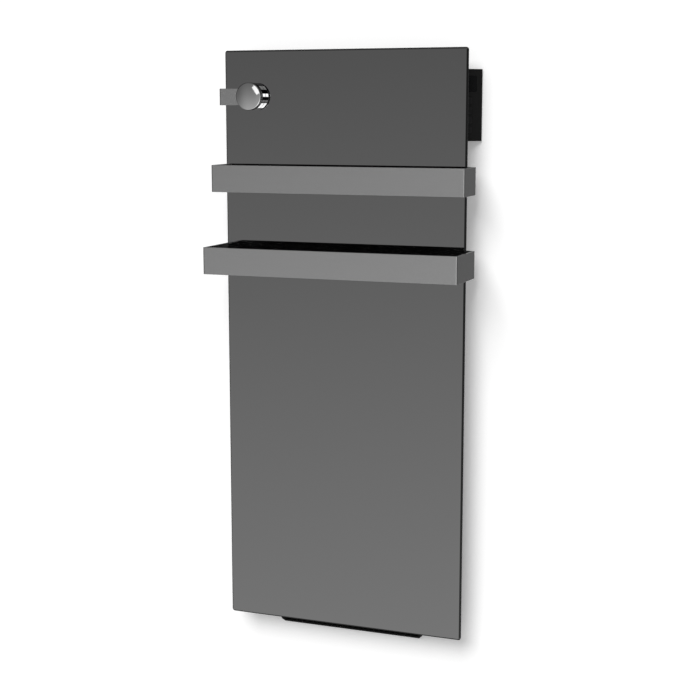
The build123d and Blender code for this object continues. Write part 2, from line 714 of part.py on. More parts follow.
def guide_path():
    """Centre line of the scroll behind the rotor, as (y, z) points."""
    return FilletPolyline(
        (ROTOR_Y + 13, ROTOR_Z + 28), (ROTOR_Y + 23.2, ROTOR_Z + 10),
        (ROTOR_Y + 20.5, ROTOR_Z - 45), (ROTOR_Y + 20.5, up(20)), (ROTOR_Y + 22, up(-20)),
        radius=[20, 60, 60],
    )


def tongue_path():
    """Centre line of the cut-off wall in front of the rotor, as (y, z) points."""
    return FilletPolyline(
        (ROTOR_Y - 17.2, ROTOR_Z - 14.5), (ROTOR_Y - 21, ROTOR_Z - 34), (ROTOR_Y - 20, up(40)),
        (ROTOR_Y - 9, up(16)), radius=[20, 16],
    )


def blower_casing():
    """Scroll wall and the two end plates that carry the motor and the bearing."""
    inner_left = END_PLATE_LEFT_X
    inner_right = END_PLATE_RIGHT_X
    scroll = extrude(facing_right(inner_left, 0, 0) * trace(guide_path(), 1.2),
                     inner_right - inner_left)
    outline = [
        (ROTOR_Y - 21.6, ROTOR_Z + 30), (ROTOR_Y - 21.6, up(40)), (ROTOR_Y - 9, up(18)),
        (ROTOR_Y + 21, up(-6)), (ROTOR_Y + 24, ROTOR_Z - 20), (ROTOR_Y + 24, ROTOR_Z + 30),
    ]
    plates = []
    for low in (inner_left - CHASSIS_SHEET, inner_right):
        plate = side_profile(outline, low, low + CHASSIS_SHEET)
        plate -= rod_along_x(END_PLATE_HOLE_R, low - 1, low + 3, ROTOR_Y, ROTOR_Z)
        plates.append(plate)
    return scroll + plates


def blower_tongue():
    """Cut-off wall between the end plates."""
    return extrude(facing_right(END_PLATE_LEFT_X, 0, 0) * trace(tongue_path(), 1.2),
                   END_PLATE_RIGHT_X - END_PLATE_LEFT_X)


def blower_rotor():
    """Cross-flow rotor: curved blades between discs, with a stub shaft at each end."""
    inner = ROTOR_RADIUS - 6.5
    blade_line = ThreePointArc((inner, 0), (ROTOR_RADIUS - 3.2, 1.1), (ROTOR_RADIUS - 1.4, 4.0))
    blade = trace(blade_line, 0.9)
    length = ROTOR_RIGHT_X - ROTOR_LEFT_X
    base = facing_right(ROTOR_LEFT_X, ROTOR_Y, ROTOR_Z)
    rotor = Part()
    for step in range(ROTOR_BLADES):
        turned = Rot(0, 0, step * 360 / ROTOR_BLADES) * blade
        rotor += extrude(base * turned, length)
    for left in (ROTOR_LEFT_X, ROTOR_LEFT_X + length / 2 - 1, ROTOR_RIGHT_X - 2):
        disc = rod_along_x(ROTOR_RADIUS, left, left + 2, ROTOR_Y, ROTOR_Z)
        if ROTOR_LEFT_X < left < ROTOR_RIGHT_X - 2:
            disc -= rod_along_x(inner + 1, left - 1, left + 3, ROTOR_Y, ROTOR_Z)
        rotor += disc
    rotor += rod_along_x(SHAFT_RADIUS, END_PLATE_LEFT_X - 16, ROTOR_LEFT_X, ROTOR_Y, ROTOR_Z)
    rotor += rod_along_x(SHAFT_RADIUS, ROTOR_RIGHT_X, END_PLATE_RIGHT_X + 8, ROTOR_Y, ROTOR_Z)
    return rotor


def blower_motor():
    """Brushless motor bolted to the left end plate, with its mounting flange."""
    right = END_PLATE_LEFT_X - CHASSIS_SHEET
    left = right - MOTOR_LENGTH
    can = rod_along_x(MOTOR_RADIUS, left, right - 3, ROTOR_Y, ROTOR_Z)
    can = fillet(can.edges().filter_by(lambda edge: edge.center().X < left + 0.1), 2.5)
    flange = rod_along_x(MOTOR_RADIUS + 2, right - 3, right, ROTOR_Y, ROTOR_Z)
    vents = Part()
    for turn in range(0, 360, 60):
        spoke = Rot(0, 0, turn) * (Pos(11, 0) * SlotOverall(7, 2.4))
        vents += extrude(facing_right(left - 1, ROTOR_Y, ROTOR_Z) * spoke, 3)
    bore = rod_along_x(SHAFT_RADIUS + RUNNING_GAP, right - 18, right + 1, ROTOR_Y, ROTOR_Z)
    return can + flange - vents - bore


def rotor_bearing():
    """Rubber-cushioned sleeve bearing outside the right end plate."""
    left = END_PLATE_RIGHT_X + CHASSIS_SHEET
    body = rod_along_x(9, left, left + 2, ROTOR_Y, ROTOR_Z)
    body += rod_along_x(7, left, left + 9, ROTOR_Y, ROTOR_Z)
    body = fillet(body.edges().filter_by(lambda edge: edge.center().X > left + 8.9), 1.5)
    return body - rod_along_x(SHAFT_RADIUS + RUNNING_GAP, left - 1, left + 8, ROTOR_Y, ROTOR_Z)


def heater_frame():
    """Heat-proof frame that holds the heater block between the end plates."""
    left, right = END_PLATE_LEFT_X, END_PLATE_RIGHT_X
    outer = block((left, right), (HEATER_FRONT_Y, HEATER_REAR_Y), (up(HEATER_BOTTOM), up(HEATER_TOP)))
    inner = block((left + HEATER_FRAME_END, right - HEATER_FRAME_END),
                  (HEATER_FRONT_Y + HEATER_FRAME_WALL, HEATER_REAR_Y - HEATER_FRAME_WALL),
                  (up(HEATER_BOTTOM) - 1, up(HEATER_TOP) + 1))
    return outer - inner


def heater_block():
    """Ceramic heater: live rails with a row of aluminium fins between them."""
    left, right = END_PLATE_LEFT_X + HEATER_FRAME_END, END_PLATE_RIGHT_X - HEATER_FRAME_END
    front, rear = HEATER_FRONT_Y + HEATER_FRAME_WALL, HEATER_REAR_Y - HEATER_FRAME_WALL
    middle = (front + rear) / 2
    bottom, top = up(HEATER_BOTTOM) + 2, up(HEATER_TOP) - 2
    core = Part()
    for y in (front, middle - HEATER_RAIL / 2, rear - HEATER_RAIL):
        core += block((left, right), (y, y + HEATER_RAIL), (bottom, top))
    pitch = (right - left - 2) / (HEATER_FINS - 1)
    half_fin = HEATER_FIN_THICK / 2
    for index in range(HEATER_FINS):
        x = left + 1 + index * pitch
        core += block((x - half_fin, x + half_fin), (front, rear), (bottom, top))
    return core


def thermal_cutout():
    """Bimetal cut-out on the right end plate beside the heater."""
    left = END_PLATE_RIGHT_X + CHASSIS_SHEET
    y = ROTOR_Y
    z = up(HEATER_TOP + 16)
    body = rod_along_x(7.5, left, left + 6, y, z)
    body += rod_along_x(5.5, left, left + 9, y, z)
    for side in (-1, 1):
        body += block((left + 8, left + 14), (y + side * 3.5 - 0.4, y + side * 3.5 + 0.4),
                      (z - 3.1, z + 3.1))
    return body


def outlet_grille():
    """Slotted air outlet let into the raked face of the rear cover."""
    half = OUTLET_HALF_WIDTH - GRILLE_BORDER
    length = outlet_length() - 2 * GRILLE_BORDER
    plate = extrude(outlet_plane() * outlet_outline(half, length, OUTLET_CHAMFER), -MOULDED_WALL)
    count = int((2 * half - 12) / OUTLET_SLOT_PITCH)
    slot = Rectangle(OUTLET_SLOT_PITCH - OUTLET_RIB, length - 8)
    slots = Sketch() + [place * slot for place in GridLocations(OUTLET_SLOT_PITCH, 0, count, 1)]
    return plate - extrude(outlet_plane() * slots, 4, both=True)


def dust_filter():
    """Slide-out filter: a frame with cross ribs over a fine mesh sheet and a finger tab."""
    base = up(COVER_TOP) + FILTER_GAP
    outer = block((FILTER_LEFT_X, FILTER_RIGHT_X), (FILTER_FRONT_Y, FILTER_REAR_Y),
                  (base, base + FILTER_THICK))
    inside = FILTER_RIGHT_X - FILTER_LEFT_X - 2 * FILTER_RIM
    cell = (inside - (FILTER_CELLS - 1) * FILTER_RIB) / FILTER_CELLS
    mesh_y = (FILTER_FRONT_Y + FILTER_RIM, FILTER_REAR_Y - FILTER_RIM)
    for index in range(FILTER_CELLS):
        x = FILTER_LEFT_X + FILTER_RIM + index * (cell + FILTER_RIB)
        outer -= block((x, x + cell), mesh_y, (base + FILTER_MESH, base + FILTER_THICK + 1))
    tab = block((FILTER_LEFT_X - 8, FILTER_LEFT_X), (FILTER_FRONT_Y + 5, FILTER_REAR_Y - 5),
                (base, base + FILTER_THICK))
    tab = fillet(tab.edges().filter_by(Axis.Z).sort_by(Axis.X)[:2], 3)
    return outer + tab


def power_switch():
    """Switch body snapped into the side wall: bezel, box and two pivot pins."""
    wall = OUTLET_HALF_WIDTH
    y_range = (SWITCH_Y - SWITCH_HALF_Y, SWITCH_Y + SWITCH_HALF_Y)
    z_range = (up(SWITCH_Z) - SWITCH_HALF_Z, up(SWITCH_Z) + SWITCH_HALF_Z)
    bezel = block((wall, wall + SWITCH_BEZEL), (y_range[0] - 1.2, y_range[1] + 1.2),
                  (z_range[0] - 1.2, z_range[1] + 1.2))
    back = wall - SWITCH_DEPTH
    box = block((back, wall), y_range, z_range)
    hollow = block((back + 3, wall + 3), (y_range[0] + 1, y_range[1] - 1),
                   (z_range[0] + 1, z_range[1] - 1))
    body = bezel + box - hollow
    for height in (-5, 0, 5):
        body += block((back - 5, back), (SWITCH_Y - 2.4, SWITCH_Y + 2.4),
                      (up(SWITCH_Z) + height - 0.4, up(SWITCH_Z) + height + 0.4))
    pin_x = wall - ROCKER_PIVOT_DEPTH
    pin = Plane((pin_x, y_range[0] + 1, up(SWITCH_Z)), x_dir=(1, 0, 0), z_dir=(0, 1, 0))
    far_pin = Plane((pin_x, y_range[1] - 1, up(SWITCH_Z)), x_dir=(1, 0, 0), z_dir=(0, -1, 0))
    pins = [extrude(end * Circle(SWITCH_PIN_R), 2) for end in (pin, far_pin)]
    return body + pins


def power_rocker():
    """Rocker with two faces that meet in a shallow valley, its upper end pressed in."""
    wall = OUTLET_HALF_WIDTH
    pivot_x = wall - ROCKER_PIVOT_DEPTH
    z = up(SWITCH_Z)
    reach = SWITCH_HALF_Z - 1 - ROCKER_END_GAP
    outline = [
        (pivot_x - 3, z - 3), (pivot_x + 2, z - reach), (wall + 2.2, z - reach),
        (wall + 0.9, z), (wall + 2.2, z + reach), (pivot_x + 2, z + reach), (pivot_x - 3, z + 3),
    ]
    face = make_face(Polyline(*outline, close=True))
    depth = 2 * (SWITCH_HALF_Y - 1 - ROCKER_GAP)
    plane = Plane((0, SWITCH_Y + depth / 2, 0), x_dir=(1, 0, 0), z_dir=(0, -1, 0))
    rocker = extrude(plane * face, depth)
    rocker -= rod_along_y(SWITCH_PIN_R + RUNNING_GAP, SWITCH_Y - 10, SWITCH_Y + 10, pivot_x, z)
    return rocker.rotate(Axis((pivot_x, SWITCH_Y, z), (0, 1, 0)), -ROCKER_TILT)


def terminal_block():
    """Mains terminal strip on the floor of the cover, three clamps with wire funnels."""
    rear = COVER_REAR_Y - MOULDED_WALL
    front = rear - TERMINAL_DEPTH
    base = block((TERMINAL_LEFT_X, TERMINAL_RIGHT_X), (front, rear),
                 (up(TERMINAL_BOTTOM), up(TERMINAL_TOP)))
    strip = fillet(base.edges().filter_by(Axis.X).sort_by(Axis.Y)[:2], 1.5)
    middle = up((TERMINAL_BOTTOM + TERMINAL_TOP) / 2)
    for index in range(3):
        x = TERMINAL_LEFT_X + (index + 0.5) * TERMINAL_PITCH
        strip -= rod_along_y(2.4, front - 1, front + 6, x, middle)
        strip -= Pos(x, rear - 6, up(TERMINAL_TOP)) * Cylinder(2.2, 12)
    return strip


def cable_gland():
    """Mains inlet: hexagon, threaded shank, dome and the bore for the lead."""
    wall = OUTLET_HALF_WIDTH
    plane = facing_right(wall, SWITCH_Y, up(GLAND_Z))
    hexagon = extrude(plane * RegularPolygon(GLAND_HEXAGON_R, 6), 5)
    shank = rod_along_x(GLAND_R, wall - 8, wall, SWITCH_Y, up(GLAND_Z))
    dome = rod_along_x(GLAND_DOME_R, wall + 5, wall + 12, SWITCH_Y, up(GLAND_Z))
    dome = fillet(dome.edges().filter_by(lambda edge: edge.center().X > wall + 11.9), 3)
    nut_plane = facing_right(wall - MOULDED_WALL - 4, SWITCH_Y, up(GLAND_Z))
    nut = extrude(nut_plane * RegularPolygon(GLAND_HEXAGON_R, 6), 4)
    gland = hexagon + shank + dome + nut
    return gland - rod_along_x(GLAND_BORE_R, wall - 12, wall + 16, SWITCH_Y, up(GLAND_Z))


def wiring_duct():
    """Closed cable duct up the back of the tray and across to the control housing."""
    left, right = DUCT_X - DUCT_WIDTH / 2, DUCT_X + DUCT_WIDTH / 2
    top = up(CONTROL_MIDDLE + DUCT_WIDTH / 2)
    shoulder = up(CONTROL_MIDDLE - DUCT_WIDTH / 2)
    points = [
        (left, up(COVER_TOP)), (right, up(COVER_TOP)), (right, shoulder),
        (CONTROL_INNER_X, shoulder), (CONTROL_INNER_X, top), (left + 6, top), (left, top - 6),
    ]
    face = make_face(Polyline(*points, close=True))
    run = extrude(facing_room(0, TRAY_REAR_Y + DUCT_DEPTH, 0) * face, DUCT_DEPTH)
    tongue = block((TAB_INNER_END - 0.1, CONTROL_INNER_X + 1),
                   (TRAY_REAR_Y - 1, TAB_REAR_Y), (shoulder - 1, top + 1))
    return run - tongue


def control_plane(depth=0.0):
    """Workplane on the slanted control face: local x towards the wall, local y up."""
    lean = sqrt(0.5)
    inner = Vector(CONTROL_OUTER_X - slant_run(), CONTROL_FRONT_Y, 0)
    outer = Vector(CONTROL_OUTER_X, CONTROL_REAR_Y - CONTROL_REAR_LAND, 0)
    middle = (inner + outer) / 2
    normal = Vector(lean, -lean, 0)
    centre = middle - normal * depth + Vector(0, 0, up(CONTROL_MIDDLE))
    return Plane(centre, x_dir=(1, 1, 0), z_dir=normal)


def slant_run():
    """Plan distance that the slanted face covers along X and along Y."""
    return CONTROL_REAR_Y - CONTROL_REAR_LAND - CONTROL_FRONT_Y


def control_housing():
    """Moulded wedge behind the right edge of the glass, open on its slanted face."""
    outline = [
        (CONTROL_INNER_X, CONTROL_REAR_Y), (CONTROL_OUTER_X, CONTROL_REAR_Y),
        (CONTROL_OUTER_X, CONTROL_REAR_Y - CONTROL_REAR_LAND),
        (CONTROL_OUTER_X - slant_run(), CONTROL_FRONT_Y), (CONTROL_INNER_X, CONTROL_FRONT_Y),
    ]
    wedge = plan_profile(outline, up(CONTROL_BOTTOM), up(CONTROL_TOP))
    slanted = wedge.faces().sort_by(lambda face: face.normal_at().dot(control_plane().z_dir))[-1]
    shell = offset(wedge, amount=-MOULDED_WALL, openings=slanted)
    middle = up(CONTROL_MIDDLE)
    reach = CONTROL_FIXING_OFFSET + 14
    tongue = block((TAB_INNER_END, CONTROL_INNER_X + 1), (TRAY_REAR_Y, TAB_REAR_Y),
                   (middle - reach, middle + reach))
    tongue = fillet(tongue.edges().filter_by(Axis.Y).sort_by(Axis.X)[:2], 6)
    shell += tongue
    for x, z in tray_fixing_places():
        if z > up(CONTROL_BOTTOM):
            shell -= rod_along_y(STRAP_SCREW_R + SCREW_HOLE_GAP, TRAY_REAR_Y - 1,
                                 TAB_REAR_Y + 1, x, z)
    return shell


def window_outline(inset, corner):
    """Outline of the display window on the fascia, made smaller all round by an inset."""
    outline = RectangleRounded(WINDOW_WIDTH - 2 * inset, WINDOW_HEIGHT - 2 * inset, corner)
    return Pos(0, DISPLAY_HEIGHT) * outline


def button_outline(centre, grown, corner):
    """Outline of one button on the fascia, made larger all round."""
    return Pos(0, centre) * RectangleRounded(BUTTON_SIZE + 2 * grown, BUTTON_SIZE + 2 * grown, corner)


def control_fascia():
    """Slanted front plate with the display window and four button openings."""
    height = CONTROL_TOP - CONTROL_BOTTOM - 2 * (MOULDED_WALL + FASCIA_GAP)
    plate = extrude(control_plane() * Rectangle(FASCIA_WIDTH, height), -FASCIA_THICK)
    plate -= extrude(control_plane() * window_outline(0, WINDOW_CORNER_R), -WINDOW_THICK)
    plate -= extrude(control_plane() * window_outline(SIGHT_BORDER, 2), -FASCIA_THICK)
    for centre in BUTTON_HEIGHTS.values():
        opening = button_outline(centre, BUTTON_GAP, BUTTON_CORNER_R + BUTTON_GAP)
        plate -= extrude(control_plane() * opening, -FASCIA_THICK)
    return plate


def display_window():
    """Smoked acrylic window let into the fascia."""
    return extrude(control_plane() * window_outline(0.2, WINDOW_CORNER_R - 0.2), -WINDOW_THICK)


def display_module():
    """Digit display standing on the board behind the window."""
    glass = Pos(0, DISPLAY_HEIGHT) * Rectangle(WINDOW_WIDTH - 6, WINDOW_HEIGHT - 6)
    front = FASCIA_THICK + 0.5
    return extrude(control_plane(front) * glass, -(BOARD_DEPTH - front))


def control_board():
    """Circuit board behind the fascia with its relay."""
    board = extrude(control_plane(BOARD_DEPTH) * Rectangle(BOARD_WIDTH, BOARD_HEIGHT), -BOARD_THICK)
    relay = Pos(-3, DISPLAY_HEIGHT) * Rectangle(16, 20)
    return board + extrude(control_plane(BOARD_DEPTH + BOARD_THICK) * relay, -12)


def board_posts():
    """Four posts that hold the board to the fascia."""
    gap = BOARD_DEPTH - FASCIA_THICK
    posts = []
    for x in (-BOARD_POST_X, BOARD_POST_X):
        for height in BOARD_POST_HEIGHTS:
            foot = Pos(x, height) * Circle(2.4)
            posts.append(extrude(control_plane(FASCIA_THICK) * foot, -gap))
    return posts


def tact_switches():
    """Four small switches on the board, one under each button."""
    switches = []
    for centre in BUTTON_HEIGHTS.values():
        base = Pos(0, centre) * Rectangle(TACT_SWITCH_SIZE, TACT_SWITCH_SIZE)
        switches.append(extrude(control_plane(BOARD_DEPTH) * base, TACT_SWITCH_HEIGHT))
    return switches


def push_button(centre):
    """Square cap with a soft edge, a retaining flange and a stem behind it."""
    outline = button_outline(centre, 0, BUTTON_CORNER_R)
    depth = FASCIA_THICK + BUTTON_GAP + 1.0
    cap = extrude(control_plane(-BUTTON_PROUD) * outline, -(BUTTON_PROUD + depth))
    front = cap.faces().sort_by(lambda face: face.center().dot(control_plane().z_dir))[-1]
    cap = fillet(front.edges(), 0.6)
    flange = button_outline(centre, BUTTON_FLANGE, BUTTON_CORNER_R)
    cap += extrude(control_plane(FASCIA_THICK + BUTTON_GAP) * flange, -1.0)
    stem = Pos(0, centre) * Circle(BUTTON_STEM_R)
    tip = BOARD_DEPTH - TACT_SWITCH_HEIGHT - BUTTON_TRAVEL - 0.2
    return cap + extrude(control_plane(depth - 0.5) * stem, -(tip - depth + 0.5))


def hanger_channel(side):
    """Top-hat channel on the back of the tray, slotted for the hooks of the bracket."""
    half_flange = CHANNEL_FLANGE_WIDTH / 2
    half_web = CHANNEL_WEB_WIDTH / 2
    sheet = CHANNEL_SHEET
    flange_y = TRAY_REAR_Y
    web_y = CHANNEL_WEB_Y
    path = Polyline(
        (-half_flange, flange_y + sheet / 2), (-half_web, flange_y + sheet / 2),
        (-half_web, web_y - sheet / 2), (half_web, web_y - sheet / 2),
        (half_web, flange_y + sheet / 2), (half_flange, flange_y + sheet / 2),
    )
    channel = extrude(trace(path, sheet), CHANNEL_LENGTH)
    channel = Pos(side * HOOK_X, 0, -CHANNEL_LENGTH / 2) * channel
    for z in (-HOOK_SPACING_Z / 2, HOOK_SPACING_Z / 2):
        slot = upright_plate(14, 24, web_y - sheet - 2, web_y + 2, side * HOOK_X, z - 12, 2)
        channel -= slot
    return channel


def bracket_outline():
    """Ladder-shaped plate with wider ears at the top for the two catches."""
    half, low = BRACKET_HALF_WIDTH, BRACKET_HALF_HEIGHT
    ear = CATCH_PIVOT_X + BRACKET_EAR_MARGIN - 1
    step = low + BRACKET_EAR_RISE
    top = CATCH_PIVOT_Z + BRACKET_EAR_MARGIN
    points = [
        (-half, -low), (half, -low), (half, low), (ear, step), (ear, top),
        (-ear, top), (-ear, step), (-half, low),
    ]
    return fillet(make_face(Polyline(*points, close=True)).vertices(), 5)


def bracket_flanges():
    """Stiffening edges folded forward along both sides of the plate."""
    reach = BRACKET_FLANGE_HALF_HEIGHT
    flanges = []
    for x in mirrored_pair([BRACKET_HALF_WIDTH - BRACKET_SHEET / 2]):
        flanges.append(block((x - BRACKET_SHEET / 2, x + BRACKET_SHEET / 2),
                             (-BRACKET_SHEET - BRACKET_FLANGE_DEPTH, -BRACKET_SHEET + 0.5),
                             (-reach, reach)))
    return flanges


def wall_bracket():
    """Pressed steel bracket: ladder plate, side flanges, four hooks and the bolt holes."""
    plate = extrude(facing_room(0, 0, 0) * bracket_outline(), BRACKET_SHEET)
    window = RectangleRounded(BRACKET_WINDOW_WIDTH, BRACKET_WINDOW_HEIGHT, 8)
    places = GridLocations(BRACKET_WINDOW_PITCH_X, BRACKET_WINDOW_PITCH_Z, 2, 3)
    windows = Sketch() + [place * window for place in places]
    plate -= extrude(facing_room(0, 1, 0) * windows, BRACKET_SHEET + 2)
    plate += bracket_flanges()
    for x in mirrored_pair([HOOK_X]):
        for z in mirrored_pair([HOOK_SPACING_Z / 2]):
            plate += bracket_hook(x, z)
    for x in mirrored_pair([BOLT_SPACING_X / 2]):
        for z in mirrored_pair([BOLT_SPACING_Z / 2]):
            plate -= rod_along_y(BOLT_HOLE_R, -BRACKET_SHEET - 2, 1, x, z)
    for x in mirrored_pair([CATCH_PIVOT_X]):
        plate -= rod_along_y(RIVET_SHANK_R, -BRACKET_SHEET - 1, 1, x, CATCH_PIVOT_Z)
    return plate


def bracket_hook(x, z):
    """Tab folded out of the bracket and turned up behind the web of the channel."""
    inner = CHANNEL_WEB_Y - CHANNEL_SHEET - BRACKET_HOOK_GAP
    outer = inner - BRACKET_SHEET
    x_range = (x - BRACKET_HOOK_WIDTH / 2, x + BRACKET_HOOK_WIDTH / 2)
    neck = block(x_range, (outer, -BRACKET_SHEET + 0.5), (z - 8, z))
    tongue = block(x_range, (outer, inner), (z - 8, z + 10))
    tongue = fillet(tongue.edges().filter_by(Axis.Y).sort_by(Axis.Z)[-2:], 3)
    return neck + tongue


def lock_catch(side):
    """Turning catch that lies over the end of the channel, with a raised finger tab."""
    x = side * CATCH_PIVOT_X
    rear = CATCH_FRONT_Y + CATCH_THICK
    plane = facing_room(x, rear, CATCH_PIVOT_Z)
    arm = Pos(-side * 15, 0) * Rectangle(30, 14)
    nose = Pos(-side * 30, -3) * Rectangle(14, 20)
    outline = Circle(CATCH_EYE_R) + arm + nose
    outline = fillet(outline.vertices().sort_by(Axis.X)[0 if side > 0 else -1], 2)
    body = extrude(plane * outline, CATCH_THICK)
    tab = block(sorted((x - side * 37, x - side * 35)), (CATCH_FRONT_Y - 8, rear),
                (CATCH_PIVOT_Z - 6, CATCH_PIVOT_Z + 6))
    return body + tab - rod_along_y(CATCH_PIN_R + RUNNING_GAP, -20, 0, x, CATCH_PIVOT_Z)


def catch_rivets():
    """Shoulder rivets that the catches turn on."""
    rivets = []
    for x in mirrored_pair([CATCH_PIVOT_X]):
        seat = CATCH_FRONT_Y + CATCH_THICK + CATCH_GAP
        rivet = rod_along_y(RIVET_HEAD_R, seat, -BRACKET_SHEET, x, CATCH_PIVOT_Z)
        rivet += rod_along_y(RIVET_SHANK_R, seat, 0, x, CATCH_PIVOT_Z)
        rivet += rod_along_y(CATCH_PIN_R, CATCH_FRONT_Y - 1, seat, x, CATCH_PIVOT_Z)
        head = rod_along_y(RIVET_HEAD_R, CATCH_FRONT_Y - 1.7, CATCH_FRONT_Y - CATCH_GAP, x,
                           CATCH_PIVOT_Z)
        rivets.append(rivet + fillet(head.edges().sort_by(Axis.Y)[0], 0.6))
    return rivets


def wall_bumpers():
    """Rubber feet between the rear cover and the wall."""
    bumpers = []
    for x in mirrored_pair([BUMPER_X]):
        for height in BUMPER_HEIGHTS:
            foot = rod_along_y(BUMPER_R, COVER_REAR_Y, 0, x, up(height))
            bumpers.append(fillet(foot.edges().sort_by(Axis.Y)[-1], 1.0))
    return bumpers


def tray_screws(places):
    """Pan-head screws through straps and lugs into the tray."""
    tip = TRAY_REAR_Y - STRAP_SCREW_PAST_TRAY
    return [pan_head_screw(x, z, TAB_REAR_Y, tip) for x, z in places]


def build_parts():
    """Every node of the radiator by name."""
    parts = {
        "front_glass": front_glass(),
        "bond_tape": bond_tape(),
        "heating_film": heating_film(),
        "heat_spreader": heat_spreader(),
        "insulation_panel": insulation_panel(),
        "film_thermostat": film_thermostat(),
        "chassis_tray": chassis_tray(),
        "upper_towel_bar": towel_bar(UPPER_BAR_BOTTOM, UPPER_BAR_REACH),
        "lower_towel_bar": towel_bar(LOWER_BAR_BOTTOM, LOWER_BAR_REACH),
        "strap_screws": tray_screws(strap_screw_places()),
        "hook_strap": hook_strap(),
        "hook_pad": hook_pad(),
        "hook_screw": hook_screw(),
        "hook_knob": hook_knob(),
        "rear_cover": rear_cover(),
        "front_pan": front_pan(),
        "front_pan_screws": front_pan_screws(),
        "tray_fixing_screws": tray_screws(tray_fixing_places()),
        "blower_casing": blower_casing(),
        "blower_tongue": blower_tongue(),
        "blower_rotor": blower_rotor(),
        "blower_motor": blower_motor(),
        "rotor_bearing": rotor_bearing(),
        "heater_frame": heater_frame(),
        "heater_block": heater_block(),
        "thermal_cutout": thermal_cutout(),
        "outlet_grille": outlet_grille(),
        "dust_filter": dust_filter(),
        "power_switch": power_switch(),
        "power_rocker": power_rocker(),
        "terminal_block": terminal_block(),
        "cable_gland": cable_gland(),
        "wiring_duct": wiring_duct(),
        "control_housing": control_housing(),
        "control_fascia": control_fascia(),
        "display_window": display_window(),
        "display_module": display_module(),
        "control_board": control_board(),
        "board_posts": board_posts(),
        "tact_switches": tact_switches(),
        "wall_bracket": wall_bracket(),
        "catch_rivets": catch_rivets(),
        "wall_bumpers": wall_bumpers(),
    }
    for name, centre in BUTTON_HEIGHTS.items():
        parts["button_" + name] = push_button(centre)
    for name, side in (("left", -1), ("right", 1)):
        parts["hanger_channel_" + name] = hanger_channel(side)
        parts["lock_catch_" + name] = lock_catch(side)
    return parts


for node, shape in build_parts().items():
    if isinstance(shape, list):
        shape = Compound(children=[piece.solid() for piece in shape])
    export_step(shape, f"parts/{node}.step")
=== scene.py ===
import math
from functools import cache

import bmesh
import bpy
from mathutils import Euler, Matrix, Vector


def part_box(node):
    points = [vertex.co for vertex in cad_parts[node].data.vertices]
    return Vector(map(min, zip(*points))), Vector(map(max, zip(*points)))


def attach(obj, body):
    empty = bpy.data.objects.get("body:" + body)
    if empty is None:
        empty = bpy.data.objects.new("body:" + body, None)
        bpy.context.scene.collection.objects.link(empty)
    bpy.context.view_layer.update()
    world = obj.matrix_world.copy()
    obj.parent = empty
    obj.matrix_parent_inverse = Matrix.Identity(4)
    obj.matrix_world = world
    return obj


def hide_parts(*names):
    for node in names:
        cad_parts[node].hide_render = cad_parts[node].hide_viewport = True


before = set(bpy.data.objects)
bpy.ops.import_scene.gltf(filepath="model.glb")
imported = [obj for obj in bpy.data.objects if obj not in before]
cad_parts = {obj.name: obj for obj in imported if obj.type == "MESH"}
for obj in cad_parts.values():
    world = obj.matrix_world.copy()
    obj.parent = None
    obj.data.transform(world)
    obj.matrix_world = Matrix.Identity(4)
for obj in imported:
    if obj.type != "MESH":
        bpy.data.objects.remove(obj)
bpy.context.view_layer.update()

bl_info = {
    "name": "Glass towel radiator",
    "version": (1, 0, 0),
    "blender": (4, 5, 0),
    "location": "3D View > Sidebar > Radiator",
    "description": "Dresses a wall-hung glass towel radiator in its finishes",
    "category": "Object",
}

MM = 0.001

# Body that the made pieces ride on
BODY = "radiator"
# Edges that turn by less than this are shaded smoothly
SMOOTH_ANGLE = math.radians(32)

# Places of the CAD nodes, in metres
GLASS_LOW, GLASS_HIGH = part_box("front_glass")
STRAP_LOW, STRAP_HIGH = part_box("hook_strap")
KNOB_LOW, KNOB_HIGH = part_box("hook_knob")
GRILLE_LOW, GRILLE_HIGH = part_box("outlet_grille")


def linear(code):
    """Linear RGBA of an sRGB hex value."""
    shares = [int(code[start:start + 2], 16) / 255 for start in (1, 3, 5)]
    light = [s / 12.92 if s <= 0.04045 else ((s + 0.055) / 1.055) ** 2.4 for s in shares]
    return (*light, 1.0)


def millimetres(name, description, value):
    """A length setting whose default is given in millimetres."""
    return bpy.props.FloatProperty(
        name=name, description=description, default=value * MM, min=0.0, unit="LENGTH",
    )


def tone(name, description, code):
    """A colour setting whose default is an sRGB hex value."""
    return bpy.props.FloatVectorProperty(
        name=name, description=description, default=linear(code), size=4,
        min=0.0, max=1.0, subtype="COLOR",
    )


def degrees(name, description, value):
    """An angle setting whose default is given in degrees."""
    return bpy.props.FloatProperty(
        name=name, description=description, default=math.radians(value), unit="ROTATION",
    )


def group(kind, name, description):
    """A setting that holds a group of settings."""
    return bpy.props.PointerProperty(type=kind, name=name, description=description)


class GlassSettings(bpy.types.PropertyGroup):
    """Sizes and tone of the heated front glass"""

    corner_radius: millimetres("Corner radius", "Rounding of the pane's corners", 5.0)
    front_bevel: millimetres("Front bevel", "Polished bevel round the front face", 3.2)
    rear_bevel: millimetres("Rear arris", "Ground bevel round the back", 0.6)
    tint: tone("Mirror tint", "How much of the room the grey mirror gives back", "#7A7A7A")


class StrapSettings(bpy.types.PropertyGroup):
    """Sizes and tone of the bent aluminium straps"""

    thickness: millimetres("Thickness", "Thickness of the flat bar", 3.0)
    bend_radius: millimetres("Bend radius", "Outer radius of each bend", 3.4)
    edge_radius: millimetres("Edge radius", "Rounding of the long edges", 0.5)
    tab_end: millimetres("Tab end", "Distance of a tab's end from the middle", 150.0)
    knob_overlap: millimetres("Overlap", "How far the hook strap passes the knob's middle", 16.0)
    colour: tone("Aluminium", "Satin anodised aluminium", "#A3A3A3")


